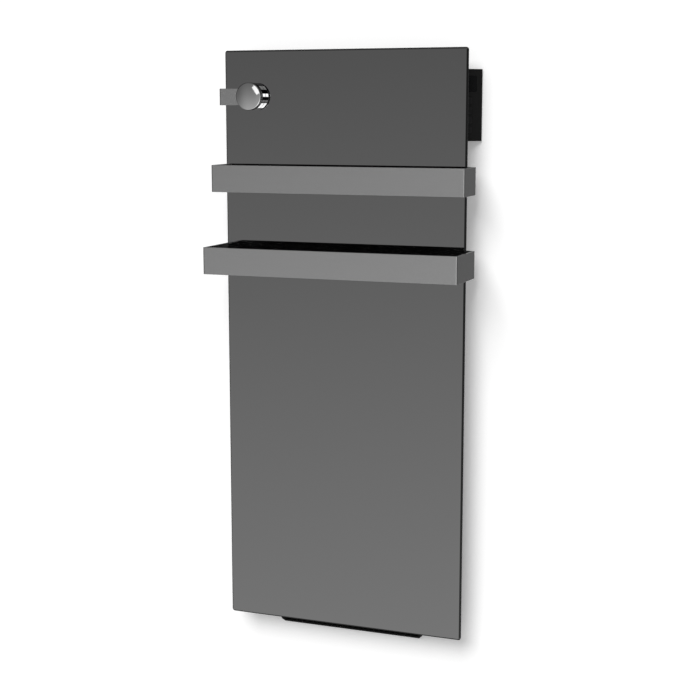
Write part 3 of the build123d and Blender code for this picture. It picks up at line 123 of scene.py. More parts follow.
class KnobSettings(bpy.types.PropertyGroup):
    """Sizes and tone of the turned robe hook"""

    collar: millimetres("Collar", "Length of the straight part next to the glass", 12.5)
    waist_length: millimetres("Waist length", "Length of the waist behind the face", 9.5)
    waist_depth: millimetres("Waist depth", "How deep the waist is", 2.2)
    face_radius: millimetres("Face radius", "Radius of the domed face", 24.5)
    crown: millimetres("Crown", "Height of the dome", 1.6)
    slot_gap: millimetres("Slot gap", "Play between the strap and its slot in the collar", 0.2)
    colour: tone("Chrome", "Chrome plate", "#B5B5B5")


class ScrewSettings(bpy.types.PropertyGroup):
    """Sizes of the screws"""

    head_radius: millimetres("Head radius", "Radius of a pan head", 4.5)
    head_height: millimetres("Head height", "Height of a pan head", 3.0)
    shank_radius: millimetres("Shank radius", "Outer radius of the thread", 2.5)
    shank_length: millimetres("Shank length", "Length under the head", 8.0)
    thread_pitch: millimetres("Thread pitch", "Distance between two turns", 0.8)
    recess_span: millimetres("Recess span", "Width of the cross recess", 5.0)
    recess_width: millimetres("Recess width", "Width of one arm of the recess", 1.1)
    recess_depth: millimetres("Recess depth", "Depth of the cross recess", 1.6)


class OutletSettings(bpy.types.PropertyGroup):
    """Sizes of the slotted air outlet"""

    slot_pitch: millimetres("Slot pitch", "Distance from one rib to the next", 11.5)
    rib_width: millimetres("Rib width", "Width of a rib", 2.6)
    rim: millimetres("Rim", "Width of the frame round the slots", 4.0)
    wall: millimetres("Wall", "Depth of the ribs", 2.5)
    corner_cut: millimetres("Corner cut", "Size of the cut on the two lower corners", 6.2)


class FinishSettings(bpy.types.PropertyGroup):
    """Tones of the mouldings and metals"""

    moulding: tone("Moulding", "Black polycarbonate", "#141414")
    powder: tone("Powder coat", "Black powder coat", "#1B1B1C")
    zinc: tone("Zinc", "Galvanised sheet", "#A9ACAE")
    outlet: tone("Outlet", "Black glass-filled nylon", "#090909")


class StageSettings(bpy.types.PropertyGroup):
    """Camera and light"""

    lens: bpy.props.FloatProperty(
        name="Lens", description="Focal length for a 36 mm sensor", default=74.28, unit="CAMERA",
    )
    key_turn: degrees("Key light turn", "How far left of the wall's normal the light is", 7.5)
    key_height: degrees("Key light height", "Angle of the light above the horizon", 40)
    key_spread: degrees("Key light spread", "Angular size of the soft light", 38)
    floor_drop: bpy.props.FloatProperty(
        name="Floor", description="Height of the floor under the wall bolts",
        default=-1.15, unit="LENGTH",
    )


class RadiatorSettings(bpy.types.PropertyGroup):
    """All settings of the radiator"""

    glass: group(GlassSettings, "Glass", "Front glass")
    strap: group(StrapSettings, "Straps", "Towel bars and hook strap")
    knob: group(KnobSettings, "Knob", "Robe hook")
    screw: group(ScrewSettings, "Screws", "Screws")
    outlet: group(OutletSettings, "Outlet", "Air outlet")
    finish: group(FinishSettings, "Finishes", "Tones of the finishes")
    stage: group(StageSettings, "Stage", "Camera and light")


def settings():
    """Settings of the scene."""
    return bpy.context.scene.radiator


# Nodes and materials


def add_node(tree, kind, inputs=(), **options):
    """Add a node with its options; an input is a value, or a socket to link from."""
    made = tree.nodes.new(kind)
    for name, value in options.items():
        setattr(made, name, value)
    for key, value in dict(inputs).items():
        if isinstance(value, bpy.types.NodeSocket):
            tree.links.new(value, made.inputs[key])
        else:
            made.inputs[key].default_value = value
    return made


def empty_tree(owner):
    """Node tree of a material or a world, cleared."""
    owner.use_nodes = True
    owner.node_tree.nodes.clear()
    return owner.node_tree


def new_material(name):
    """Empty material, its node tree and the socket of its object coordinates."""
    material = bpy.data.materials.new(name)
    tree = empty_tree(material)
    return material, tree, add_node(tree, "ShaderNodeTexCoord").outputs["Object"]


def close_material(material, values, relief=None):
    """End a material in one Principled shader.

    A value is plain, or a 0 to 1 pattern with the two ends that it runs between. The relief is
    a pattern with its height in metres.
    """
    tree = material.node_tree
    inputs = {}
    for name, value in values.items():
        if isinstance(value, tuple) and isinstance(value[0], bpy.types.NodeSocket):
            pattern, low, high = value
            if isinstance(low, tuple):
                made = add_node(tree, "ShaderNodeMix", {0: pattern, 6: low, 7: high},
                                data_type="RGBA")
                value = made.outputs[2]
            else:
                # Noise stays mostly between 0.3 and 0.7
                made = add_node(tree, "ShaderNodeMapRange", {
                    0: pattern, 1: 0.3, 2: 0.7, 3: low, 4: high,
                })
                value = made.outputs[0]
        inputs[name] = value
    if relief:
        pattern, height = relief
        inputs["Normal"] = add_node(tree, "ShaderNodeBump", {
            "Height": pattern, "Distance": height,
        }).outputs[0]
    shader = add_node(tree, "ShaderNodeBsdfPrincipled", inputs)
    add_node(tree, "ShaderNodeOutputMaterial", {"Surface": shader.outputs[0]})
    return material


def grained_material(name, size, detail, values, relief=0.0, distortion=0.0, roughness=0.5,
                     patches=0.0):
    """Material with a noise pattern; its size, relief and patches are in metres.

    A pair of values is the range that the pattern runs through. A size of three numbers
    stretches it, and patches is the size of a second pattern for the colour alone.
    """
    material, tree, place = new_material(name)
    if patches:
        cloud = add_node(tree, "ShaderNodeTexNoise", {
            "Vector": place, "Scale": 1 / patches, "Detail": 3.0,
        }).outputs[0]
        values = {**values, "Base Color": (cloud, *values["Base Color"])}
    if isinstance(size, tuple):
        place = add_node(tree, "ShaderNodeMapping", {
            "Vector": place, "Scale": tuple(1 / length for length in size),
        }).outputs[0]
        size = 1.0
    noise = add_node(tree, "ShaderNodeTexNoise", {
        "Vector": place, "Scale": 1 / size, "Detail": detail, "Distortion": distortion,
        "Roughness": roughness,
    }).outputs[0]
    ranged = {key: (noise, *value) if isinstance(value, tuple) and len(value) == 2 else value
              for key, value in values.items()}
    return close_material(material, ranged, relief and (noise, relief))


def shades(colour, *factors):
    """The same colour, darker and lighter."""
    return tuple((*[min(1.0, channel * factor) for channel in colour[:3]], 1.0)
                 for factor in factors)


def grey_mirror_glass():
    """Grey float glass, silvered on its back, with the faint hand-wide haze of wiped glass."""
    return grained_material("Grey mirror glass", 0.09, 2.0, {
        "Base Color": settings().glass.tint, "Metallic": 1.0, "Roughness": (0.006, 0.016),
    })


def ground_glass_edge():
    """Edge of the pane, ground and polished, with marks about 0.6 mm apart."""
    return grained_material("Polished glass edge", 0.0006, 1.0, {
        "Base Color": linear("#1D1F1F"), "Roughness": (0.16, 0.3), "IOR": 1.52,
    })


def back_enamel():
    """Protective lacquer over the silvering: flat black with a light orange peel."""
    return grained_material("Black mirror lacquer", 0.003, 2.0, {
        "Base Color": linear("#161617"), "Roughness": 0.45, "IOR": 1.5,
    }, 0.00005)


def satin_aluminium():
    """Anodised flat bar: a soft metal with level streaks, under an oxide that scatters a little."""
    # Streaks are 0.4 mm high and 60 mm long; the real grain is too fine for the picture
    return grained_material("Satin anodised aluminium", (0.06, 0.06, 0.0004), 3.0, {
        "Base Color": shades(settings().strap.colour, 0.96, 1.04), "Metallic": 0.88,
        "Roughness": (0.18, 0.22),
    }, 0.000008, roughness=0.6)


def chrome_plate():
    """Bright chrome over polished zinc: a hard mirror with a trace of polishing haze."""
    return grained_material("Bright chrome plate", 0.012, 3.0, {
        "Base Color": settings().knob.colour, "Metallic": 1.0, "Roughness": (0.02, 0.05),
    })


def moulded_black():
    """Flame-retardant polycarbonate, matt black, with spark-eroded pits 0.35 mm apart."""
    return grained_material("Textured black polycarbonate", 0.00035, 2.0, {
        "Base Color": shades(settings().finish.moulding, 0.85, 1.2), "Roughness": (0.42, 0.6),
        "IOR": 1.58, "Specular IOR Level": 0.25,
    }, 0.00003, roughness=0.7, patches=0.05)


def outlet_black():
    """Nylon of the outlet, dead matt so that its ribs hardly show, with 0.8 mm glass fibres."""
    return grained_material("Matt black glass-filled nylon", 0.0008, 3.0, {
        "Base Color": shades(settings().finish.outlet, 0.8, 1.25), "Roughness": (0.62, 0.78),
        "IOR": 1.53, "Specular IOR Level": 0.12,
    }, 0.00003, distortion=0.8)


def button_black():
    """Polycarbonate keys, polished a little by fingers: smoother black than the housing."""
    return grained_material("Satin black key cap", 0.006, 3.0, {
        "Base Color": linear("#161617"), "Roughness": (0.28, 0.42), "IOR": 1.58,
    })


def smoked_acrylic():
    """Smoked acrylic, flame polished: a deep gloss over the dark display."""
    return grained_material("Smoked acrylic", 0.008, 2.0, {
        "Base Color": linear("#1C1D1E"), "Roughness": (0.03, 0.07), "IOR": 1.49,
        "Transmission Weight": 0.3,
    })


def striped_material(name, dark, pale, values):
    """Material whose colour swings between two tones every 38 mm."""
    material, tree, place = new_material(name)
    # A wave repeats after 0.314 / Scale
    stripes = add_node(tree, "ShaderNodeTexWave", {
        "Vector": place, "Scale": 1 / 0.12,
    }, bands_direction="Z").outputs[1]
    return close_material(material, {"Base Color": (stripes, linear(dark), linear(pale)), **values})


def display_glass():
    """Unlit digit display: dark glass whose tone drifts a little over its height."""
    return striped_material("Unlit display", "#0A0A0B", "#141416", {"Roughness": 0.2, "IOR": 1.5})


def carbon_film():
    """Printed carbon film in clear polyester: level black bands under a smooth foil."""
    return striped_material("Carbon heating film", "#131314", "#3A3B3E",
                            {"Roughness": 0.3, "Coat Weight": 0.5})


def powder_coat():
    """Black epoxy-polyester powder coat on sheet steel: satin, with orange peel 1.2 mm wide."""
    return grained_material("Black powder coat", 0.0012, 2.0, {
        "Base Color": shades(settings().finish.powder, 0.88, 1.15), "Roughness": (0.36, 0.5),
        "IOR": 1.5,
    }, 0.00004, patches=0.08)


def galvanised_sheet():
    """Hot-dip galvanised steel: grey metal with a spangle of crystals 6 to 12 mm wide."""
    material, tree, place = new_material("Galvanised sheet steel")
    # The crystals' edges are bent by up to 4 mm
    bent = add_node(tree, "ShaderNodeTexNoise", {
        "Vector": place, "Scale": 1 / 0.006, "Detail": 2.0,
    }).outputs[1]
    crooked = add_node(tree, "ShaderNodeMix", {0: 0.004, 4: place, 5: bent},
                       data_type="VECTOR").outputs[1]
    crystal = add_node(tree, "ShaderNodeTexVoronoi", {
        "Vector": crooked, "Scale": 1 / 0.009,
    }).outputs["Color"]
    chance = add_node(tree, "ShaderNodeSeparateColor", {0: crystal}).outputs
    return close_material(material, {
        "Base Color": (chance[0], *shades(settings().finish.zinc, 0.78, 1.12)),
        "Metallic": 1.0, "Roughness": (chance[1], 0.34, 0.56),
    })


def zinc_plate():
    """Bright zinc plate on screws and catches: clean pale metal with a slight blue."""
    return grained_material("Bright zinc plate", 0.004, 4.0, {
        "Base Color": (linear("#A5A9AE"), linear("#C6C8CB")), "Metallic": 1.0,
        "Roughness": (0.22, 0.38),
    })


def mill_aluminium():
    """Rolled aluminium sheet: bright, with upright rolling lines about 0.8 mm apart."""
    return grained_material("Mill finish aluminium", (0.0008, 0.0008, 0.2), 2.0, {
        "Base Color": (linear("#BBBDBF"), linear("#D2D4D6")), "Metallic": 1.0,
        "Roughness": (0.24, 0.4),
    })


def mineral_wool():
    """Pressed mineral wool board: matt yellow-brown felt, its fibre bundles 2 mm wide."""
    return grained_material("Mineral wool board", 0.002, 6.0, {
        "Base Color": (linear("#7C7152"), linear("#B3A883")), "Roughness": 0.95,
        "Sheen Weight": 0.2,
    }, 0.0008, distortion=1.6)


def foam_tape():
    """Closed-cell adhesive foam: dark and matt, with cells about 0.5 mm wide."""
    material, tree, place = new_material("Black foam tape")
    cells = add_node(tree, "ShaderNodeTexVoronoi", {
        "Vector": place, "Scale": 1 / 0.0005,
    }).outputs[0]
    return close_material(material, {"Base Color": linear("#2A2A2A"), "Roughness": 0.9},
                          (cells, 0.00015))


def clear_silicone():
    """Translucent silicone pad: milky and soft."""
    return grained_material("Clear silicone", 0.005, 2.0, {
        "Base Color": linear("#D6D8D9"), "Roughness": (0.28, 0.45), "IOR": 1.41,
        "Transmission Weight": 0.5,
    })


def black_rubber():
    """Moulded nitrile rubber: matt black with a grey bloom."""
    return grained_material("Black nitrile rubber", 0.005, 5.0, {
        "Base Color": (linear("#161616"), linear("#262626")), "Roughness": 0.75, "IOR": 1.52,
    }, 0.00005)


def steatite():
    """Unglazed steatite ceramic: warm white and chalky, with fine speckles."""
    return grained_material("Steatite ceramic", 0.0015, 5.0, {
        "Base Color": (linear("#C8C0AE"), linear("#E2DDD1")), "Roughness": 0.7, "IOR": 1.57,
    }, 0.00004)


def natural_nylon():
    """Moulded natural nylon: creamy white with a soft gloss."""
    return grained_material("Natural nylon", 0.008, 2.0, {
        "Base Color": linear("#DDDBD4"), "Roughness": (0.34, 0.5), "IOR": 1.53,
        "Subsurface Weight": 0.1, "Subsurface Radius": (0.003, 0.002, 0.001),
    })


def circuit_board():
    """Glass-epoxy board under green solder mask, with copper tracks that show through."""
    material, tree, place = new_material("Green circuit board")
    # Rows of tracks are 2.5 mm apart
    tracks = add_node(tree, "ShaderNodeTexBrick", {
        "Vector": place, "Scale": 1 / 0.01, "Color1": linear("#1A4029"),
        "Color2": linear("#1E4A30"), "Mortar": linear("#2E6A45"),
    }).outputs[0]
    return close_material(material, {"Base Color": tracks, "Roughness": 0.25, "IOR": 1.55})


@cache
def finish(make):
    """The material that a function makes, made once."""
    return make()


# CAD nodes that keep their shape, by their finish
DRESSED = {
    moulded_black: (
        "control_housing", "control_fascia", "rear_cover", "dust_filter", "power_switch",
        "cable_gland", "wiring_duct",
    ),
    button_black: (
        "tact_switches", "button_plus", "button_minus", "button_fan", "button_standby",
        "power_rocker",
    ),
    smoked_acrylic: ("display_window",),
    display_glass: ("display_module",),
    circuit_board: ("control_board",),
    natural_nylon: ("board_posts", "terminal_block"),
    foam_tape: ("bond_tape",),
    carbon_film: ("heating_film",),
    mineral_wool: ("insulation_panel",),
    steatite: ("film_thermostat", "heater_frame", "thermal_cutout"),
    mill_aluminium: ("heat_spreader", "blower_rotor", "heater_block"),
    galvanised_sheet: (
        "front_pan", "blower_casing", "blower_tongue", "hanger_channel_left",
        "hanger_channel_right",
    ),
    powder_coat: ("blower_motor", "chassis_tray", "wall_bracket"),
    zinc_plate: (
        "hook_screw", "front_pan_screws", "catch_rivets", "lock_catch_left", "lock_catch_right",
    ),
    clear_silicone: ("hook_pad",),
    black_rubber: ("rotor_bearing", "wall_bumpers"),
}


# Meshes


def add_object(name, data):
    """Object with that data, linked to the scene."""
    made = bpy.data.objects.new(name, data)
    bpy.context.scene.collection.objects.link(made)
    return made


def take_mesh(holder):
    """Mesh of an object after its modifiers; the object goes."""
    depsgraph = bpy.context.evaluated_depsgraph_get()
    mesh = bpy.data.meshes.new_from_object(holder.evaluated_get(depsgraph), depsgraph=depsgraph)
    bpy.data.objects.remove(holder)
    return mesh


def add_piece(name, mesh, node, finishes=()):
    """Link a mesh as a piece that stands for a CAD node, its rounded edges shaded smoothly."""
    piece = add_object(name, mesh)
    for make in finishes:
        mesh.materials.append(finish(make))
    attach(piece, BODY)
    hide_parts(node)
    mesh.polygons.foreach_set("use_smooth", [True] * len(mesh.polygons))
    mesh.set_sharp_from_angle(angle=SMOOTH_ANGLE)
    piece.modifiers.new("Face weighted normals", "WEIGHTED_NORMAL").keep_sharp = True


def plain_mesh(name, points, edges=(), faces=()):
    """Mesh of the given points, edges and faces."""
    mesh = bpy.data.meshes.new(name)
    mesh.from_pydata(points, edges, faces)
    return mesh


def rounded_rectangle(width, height, radius, steps=8):
    """Points (across, up) of a rounded rectangle about its middle."""
    points = []
    for corner, (side, level) in enumerate(((1, 1), (-1, 1), (-1, -1), (1, -1))):
        middle = (side * (width / 2 - radius), level * (height / 2 - radius))
        points += arc(middle, radius, 90 * corner, 90 * corner + 90, steps)
    return points


def arc(centre, radius, start, end, steps):
    """Points of an arc; angles in degrees from the first axis."""
    points = []
    for step in range(steps + 1):
        angle = math.radians(start + (end - start) * step / steps)
        points.append((centre[0] + radius * math.cos(angle), centre[1] + radius * math.sin(angle)))
    return points


def skin(shell, row, following, band=0):
    """Faces between two closed rows of vertices."""
    for index in range(len(row)):
        nearby = (index + 1) % len(row)
        face = shell.faces.new((row[index], row[nearby], following[nearby], following[index]))
        face.material_index = band


def loft(rings, bands=None):
    """Closed mesh through rings of points, capped at both ends, with a material per band."""
    shell = bmesh.new()
    rows = [[shell.verts.new(point) for point in ring] for ring in rings]
    bands = bands or [0] * (len(rows) + 1)
    shell.faces.new(reversed(rows[0])).material_index = bands[0]
    for row, following, band in zip(rows, rows[1:], bands[1:]):
        skin(shell, row, following, band)
    shell.faces.new(rows[-1]).material_index = bands[-1]
    bmesh.ops.recalc_face_normals(shell, faces=shell.faces)
    return shell


def to_mesh(shell, name):
    """Turn a bmesh into a mesh."""
    mesh = bpy.data.meshes.new(name)
    shell.to_mesh(mesh)
    shell.free()
    return mesh


def turned(profile, steps):
    """Solid turned about the Z axis from (radius, height) points, foot first."""
    turns = [math.tau * step / steps for step in range(steps)]
    return loft([[(radius * math.cos(t), radius * math.sin(t), height) for t in turns]
                 for radius, height in profile])


# Geometry node trees


def new_tree(name, sockets):
    """Geometry tree with named inputs, each given with its kind."""
    tree = bpy.data.node_groups.new(name, "GeometryNodeTree")
    for label, kind in {"Geometry": "Geometry", **sockets}.items():
        tree.interface.new_socket(label, in_out="INPUT", socket_type="NodeSocket" + kind)
    tree.interface.new_socket("Geometry", in_out="OUTPUT", socket_type="NodeSocketGeometry")
    return tree, add_node(tree, "NodeGroupInput").outputs


def close_tree(tree, geometry, material):
    """End a tree in plain faces with their finish."""
    plain = add_node(tree, "GeometryNodeRealizeInstances", {0: geometry})
    painted = add_node(tree, "GeometryNodeSetMaterial", {0: plain.outputs[0], 2: material})
    add_node(tree, "NodeGroupOutput", {0: painted.outputs[0]})


def grow(tree, base, values):
    """Mesh that a tree makes of a base mesh with the given input values."""
    holder = add_object("holder", base)
    modifier = holder.modifiers.new("Tree", "NODES")
    modifier.node_group = tree
    for item in tree.interface.items_tree:
        if item.in_out == "INPUT" and item.name in values:
            modifier[item.identifier] = values[item.name]
    mesh = take_mesh(holder)
    if not mesh.polygons:
        raise RuntimeError(f"the tree {tree.name} made no faces")
    return mesh


def strap_tree():
    """Flat bar with rounded edges, bent along a line of points."""
    tree, given = new_tree("Bent flat bar", {
        "Thickness": "Float", "Height": "Float", "Bend radius": "Float", "Edge radius": "Float",
        "Material": "Material",
    })
    line = add_node(tree, "GeometryNodeMeshToCurve", {0: given["Geometry"]})
    half = add_node(tree, "ShaderNodeMath", {0: given["Thickness"], 1: 0.5}, operation="MULTIPLY")
    middle_radius = add_node(tree, "ShaderNodeMath", {
        0: given["Bend radius"], 1: half.outputs[0],
    }, operation="SUBTRACT")
    bent = add_node(tree, "GeometryNodeFilletCurve", {
        "Curve": line.outputs[0], "Radius": middle_radius.outputs[0], "Count": 12,
    }, mode="POLY")
    upright = add_node(tree, "GeometryNodeSetCurveNormal", {0: bent.outputs[0]}, mode="Z_UP")
    section = add_node(tree, "GeometryNodeCurvePrimitiveQuadrilateral", {
        "Width": given["Thickness"], "Height": given["Height"],
    })
    eased = add_node(tree, "GeometryNodeFilletCurve", {
        "Curve": section.outputs[0], "Radius": given["Edge radius"], "Count": 4,
    }, mode="POLY")
    bar = add_node(tree, "GeometryNodeCurveToMesh", {
        "Curve": upright.outputs[0], "Profile Curve": eased.outputs[0], "Fill Caps": True,
    })
    close_tree(tree, bar.outputs[0], given["Material"])
    return tree


def strap_piece(node, corners, name):
    """Bent strap in place of a CAD strap, along (x, y) corners at the node's mid height."""
    strap = settings().strap
    low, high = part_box(node)
    level = (low.z + high.z) / 2
    tree = bpy.data.node_groups.get("Bent flat bar") or strap_tree()
    line = plain_mesh("line", [(x, y, level) for x, y in corners],
                      [(step, step + 1) for step in range(len(corners) - 1)])
    mesh = grow(tree, line, {
        "Thickness": strap.thickness, "Height": high.z - low.z,
        "Bend radius": strap.bend_radius, "Edge radius": strap.edge_radius,
        "Material": finish(satin_aluminium),
    })
    add_piece(name, mesh, node)


def strap_lines(node):
    """Half width, front and rear of the centre line of a CAD strap."""
    half = settings().strap.thickness / 2
    low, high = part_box(node)
    return -low.x - half, low.y + half, high.y - half


def bar_corners(node):
    """Corners of a towel bar's centre line, from its left tab to its right tab."""
    half, front, rear = strap_lines(node)
    tab = settings().strap.tab_end
    return [(-tab, rear), (-half, rear), (-half, front), (half, front), (half, rear), (tab, rear)]


def hook_corners():
    """Corners of the hook strap's centre line, from behind the knob to its tab."""
    strap = settings().strap
    half, front, rear = strap_lines("hook_strap")
    end = (KNOB_LOW.x + KNOB_HIGH.x) / 2 + strap.knob_overlap
    return [(end, front), (-half, front), (-half, rear), (-strap.tab_end, rear)]


def scatter_tree():
    """One piece set on every point, each turned about its own axis by chance."""
    tree, given = new_tree("Set on points", {
        "Piece": "Object", "Axis": "Vector", "Seed": "Int", "Material": "Material",
    })
    source = add_node(tree, "GeometryNodeObjectInfo", {"Object": given["Piece"]})
    turn = add_node(tree, "FunctionNodeRandomValue", {
        2: 0.0, 3: math.tau, "Seed": given["Seed"],
    }, data_type="FLOAT")
    spun = add_node(tree, "FunctionNodeAxisAngleToRotation", {
        "Axis": given["Axis"], "Angle": turn.outputs[1],
    })
    placed = add_node(tree, "GeometryNodeInstanceOnPoints", {
        "Points": given["Geometry"], "Instance": source.outputs["Geometry"],
        "Rotation": spun.outputs[0],
    })
    close_tree(tree, placed.outputs[0], given["Material"])
    return tree


def screw_mesh():
    """Pan-head screw along +Y: thread below the seat, domed head above it, cross recess."""
    screw = settings().screw
    outer, length, pitch = screw.shank_radius, screw.shank_length, screw.thread_pitch
    # Shares of the outer radius at the point and in the thread's grooves
    point, root = outer * 0.5, outer * 0.8
    # Shares of the length where the point ends, where the thread starts and how long it is
    point_end, thread_start, thread_run = 0.96, 0.94, 0.9
    profile = [(point, -length), (root, -length * point_end)]
    for ridge in range(int(length * thread_run / pitch)):
        height = -length * thread_start + ridge * pitch
        profile += [(root, height), (outer, height + pitch / 2)]
    profile += [(root, -NECK), (root, 0.0), (screw.head_radius, 0.0)]
    profile += arc((screw.head_radius - HEAD_EASE, screw.head_height - HEAD_EASE), HEAD_EASE,
                   0, 90, 6)
    profile.append((screw.head_radius * HEAD_FLAT, screw.head_height))
    body = turned(profile, SCREW_STEPS)
    recess = bmesh.new()
    for angle in (0, 90):
        arm = bmesh.ops.create_cube(recess, size=1.0)["verts"]
        bmesh.ops.scale(recess, vec=(screw.recess_span, screw.recess_width, 2 * screw.recess_depth),
                        verts=arm)
        bmesh.ops.rotate(recess, verts=arm, matrix=Matrix.Rotation(math.radians(angle), 3, "Z"))
    bmesh.ops.translate(recess, verts=recess.verts, vec=(0, 0, screw.head_height))
    mesh = carve(to_mesh(body, "screw"), to_mesh(recess, "recess"))
    mesh.transform(Matrix.Rotation(math.radians(-90), 4, "X"))
    return mesh


def carve(mesh, cutter_mesh):
    """Cut one closed mesh out of another."""
    blank, cutter = add_object("blank", mesh), add_object("cutter", cutter_mesh)
    cut = blank.modifiers.new("Cut", "BOOLEAN")
    cut.object = cutter
    cut.operation = "DIFFERENCE"
    cut.solver = "EXACT"
    cut.use_self = True
    result = take_mesh(blank)
    bpy.data.objects.remove(cutter)
    return result


def solid_places(node):
    """Box (low, high) of each separate solid of a CAD node."""
    solids = bmesh.new()
    solids.from_mesh(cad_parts[node].data)
    bmesh.ops.remove_doubles(solids, verts=solids.verts, dist=1e-6)
    boxes = []
    unseen = set(solids.verts)
    while unseen:
        reached = [unseen.pop()]
        island = []
        while reached:
            vertex = reached.pop()
            island.append(vertex.co.copy())
            for edge in vertex.link_edges:
                other = edge.other_vert(vertex)
                if other in unseen:
                    unseen.remove(other)
                    reached.append(other)
        boxes.append([Vector(side(point[axis] for point in island) for axis in range(3))
                      for side in (min, max)])
    solids.free()
    return sorted(boxes, key=lambda box: (round(box[0].z, 4), box[0].x))


def screw_group(node, mesh, seat):
    """Screws in place of a node's solids; seat is the Y of the face under their heads."""
    places = [((low.x + high.x) / 2, seat, (low.z + high.z) / 2)
              for low, high in solid_places(node)]
    model = bpy.data.objects.new(node + "_model", mesh)
    tree = bpy.data.node_groups.get("Set on points") or scatter_tree()
    grown = grow(tree, plain_mesh("points", places), {
        "Piece": model, "Axis": (0.0, 1.0, 0.0), "Seed": len(places),
        "Material": finish(zinc_plate),
    })
    bpy.data.objects.remove(model)
    add_piece(node + "_set", grown, node)


def ribs_tree():
    """Outlet frame with a row of like ribs along it, laid on the raked face."""
    tree, given = new_tree("Slotted outlet", {
        "Rib": "Object", "Count": "Int", "Start": "Vector", "Step": "Vector", "Place": "Vector",
        "Rake": "Vector", "Material": "Material",
    })
    row = add_node(tree, "GeometryNodeMeshLine", {
        "Count": given["Count"], "Start Location": given["Start"], "Offset": given["Step"],
    })
    source = add_node(tree, "GeometryNodeObjectInfo", {"Object": given["Rib"]})
    ribs = add_node(tree, "GeometryNodeInstanceOnPoints", {
        "Points": row.outputs[0], "Instance": source.outputs["Geometry"],
    })
    joined = add_node(tree, "GeometryNodeJoinGeometry", {0: given["Geometry"]})
    tree.links.new(ribs.outputs[0], joined.inputs[0])
    laid = add_node(tree, "GeometryNodeTransform", {
        "Geometry": joined.outputs[0], "Translation": given["Place"], "Rotation": given["Rake"],
    })
    close_tree(tree, laid.outputs[0], given["Material"])
    return tree


# Pieces

# Screw: rounding of the head's edge, plain neck under it, share of the head that is flat
HEAD_EASE, NECK, HEAD_FLAT = 0.0014, 0.0002, 0.3
# Knob: its arris, and the tiny flats on its axis at the back and on the face
KNOB_ARRIS, BACK_FLAT, FACE_FLAT = 0.0002, 0.0005, 0.0004
# Steps round a screw and the knob, and along the knob's waist, edge and dome
SCREW_STEPS, KNOB_STEPS = 32, 128
WAIST_STEPS, ROUND_STEPS, DOME_STEPS = 24, 12, 24
# How far a cutter stands past the surface that it cuts
CUT_PAST = 0.001
# Outlet: how far it leans back, its arris, how deep a rib enters the rim, width without ribs
OUTLET_RAKE = math.radians(35)
OUTLET_ARRIS, RIB_BITE, OUTLET_MARGIN = 0.0004, 0.0005, 0.012


def glass_plate():
    """Bevelled pane with a mirror front, ground edges and a lacquered back."""
    glass = settings().glass
    middle = (GLASS_LOW + GLASS_HIGH) / 2
    size = GLASS_HIGH - GLASS_LOW
    outlines = (
        (glass.front_bevel, GLASS_LOW.y), (0.0, GLASS_LOW.y + glass.front_bevel),
        (0.0, GLASS_HIGH.y - glass.rear_bevel), (glass.rear_bevel, GLASS_HIGH.y),
    )
    rings = []
    for inset, depth in outlines:
        outline = rounded_rectangle(size.x - 2 * inset, size.z - 2 * inset,
                                    glass.corner_radius - inset)
        rings.append([(middle.x + across, depth, middle.z + level) for across, level in outline])
    mesh = to_mesh(loft(rings, (0, 0, 1, 1, 2)), "glass_plate")
    add_piece("glass_plate", mesh, "front_glass",
              (grey_mirror_glass, ground_glass_edge, back_enamel))


def knob_profile():
    """Profile (radius, height) of the robe hook from its back to the middle of its face."""
    knob = settings().knob
    outer = (KNOB_HIGH.x - KNOB_LOW.x) / 2
    depth = KNOB_HIGH.y - KNOB_LOW.y
    shoulder = knob.collar + knob.waist_length
    profile = [(BACK_FLAT, 0.0), (outer * 0.7, 0.0), (outer - KNOB_ARRIS, 0.0), (outer, KNOB_ARRIS)]
    for step in range(WAIST_STEPS + 1):
        share = step / WAIST_STEPS
        inset = knob.waist_depth * (1 - math.cos(math.tau * share)) / 2
        profile.append((outer - inset, knob.collar + knob.waist_length * share))
    for step in range(1, ROUND_STEPS + 1):
        angle = math.radians(90 * step / ROUND_STEPS)
        profile.append((
            knob.face_radius + (outer - knob.face_radius) * math.cos(angle),
            shoulder + (depth - knob.crown - shoulder) * math.sin(angle),
        ))
    dome = (knob.face_radius ** 2 + knob.crown ** 2) / (2 * knob.crown)
    for step in range(1, DOME_STEPS + 1):
        radius = knob.face_radius * (1 - step / DOME_STEPS)
        profile.append((max(radius, FACE_FLAT), depth - dome + math.sqrt(dome ** 2 - radius ** 2)))
    return profile


def box_mesh(low, high):
    """Closed box between two corners."""
    box = bmesh.new()
    bmesh.ops.create_cube(box, size=1.0)
    bmesh.ops.scale(box, vec=high - low, verts=box.verts)
    bmesh.ops.translate(box, vec=(low + high) / 2, verts=box.verts)
    return to_mesh(box, "box")


def robe_knob():
    """Turned chrome knob, its collar slotted for the hook strap."""
    knob = settings().knob
    middle = (KNOB_LOW + KNOB_HIGH) / 2
    mesh = to_mesh(turned(knob_profile(), KNOB_STEPS), "robe_knob")
    # The turning axis becomes the outward normal of the wall
    mesh.transform(Matrix.Translation((middle.x, KNOB_HIGH.y, middle.z))
                   @ Matrix.Rotation(math.radians(90), 4, "X"))
    end = middle.x + settings().strap.knob_overlap + knob.slot_gap
    slot = box_mesh(Vector((KNOB_LOW.x - CUT_PAST, STRAP_LOW.y, STRAP_LOW.z - knob.slot_gap)),
                    Vector((end, KNOB_HIGH.y + CUT_PAST, STRAP_HIGH.z + knob.slot_gap)))
    add_piece("robe_knob", carve(mesh, slot), "hook_knob", (chrome_plate,))


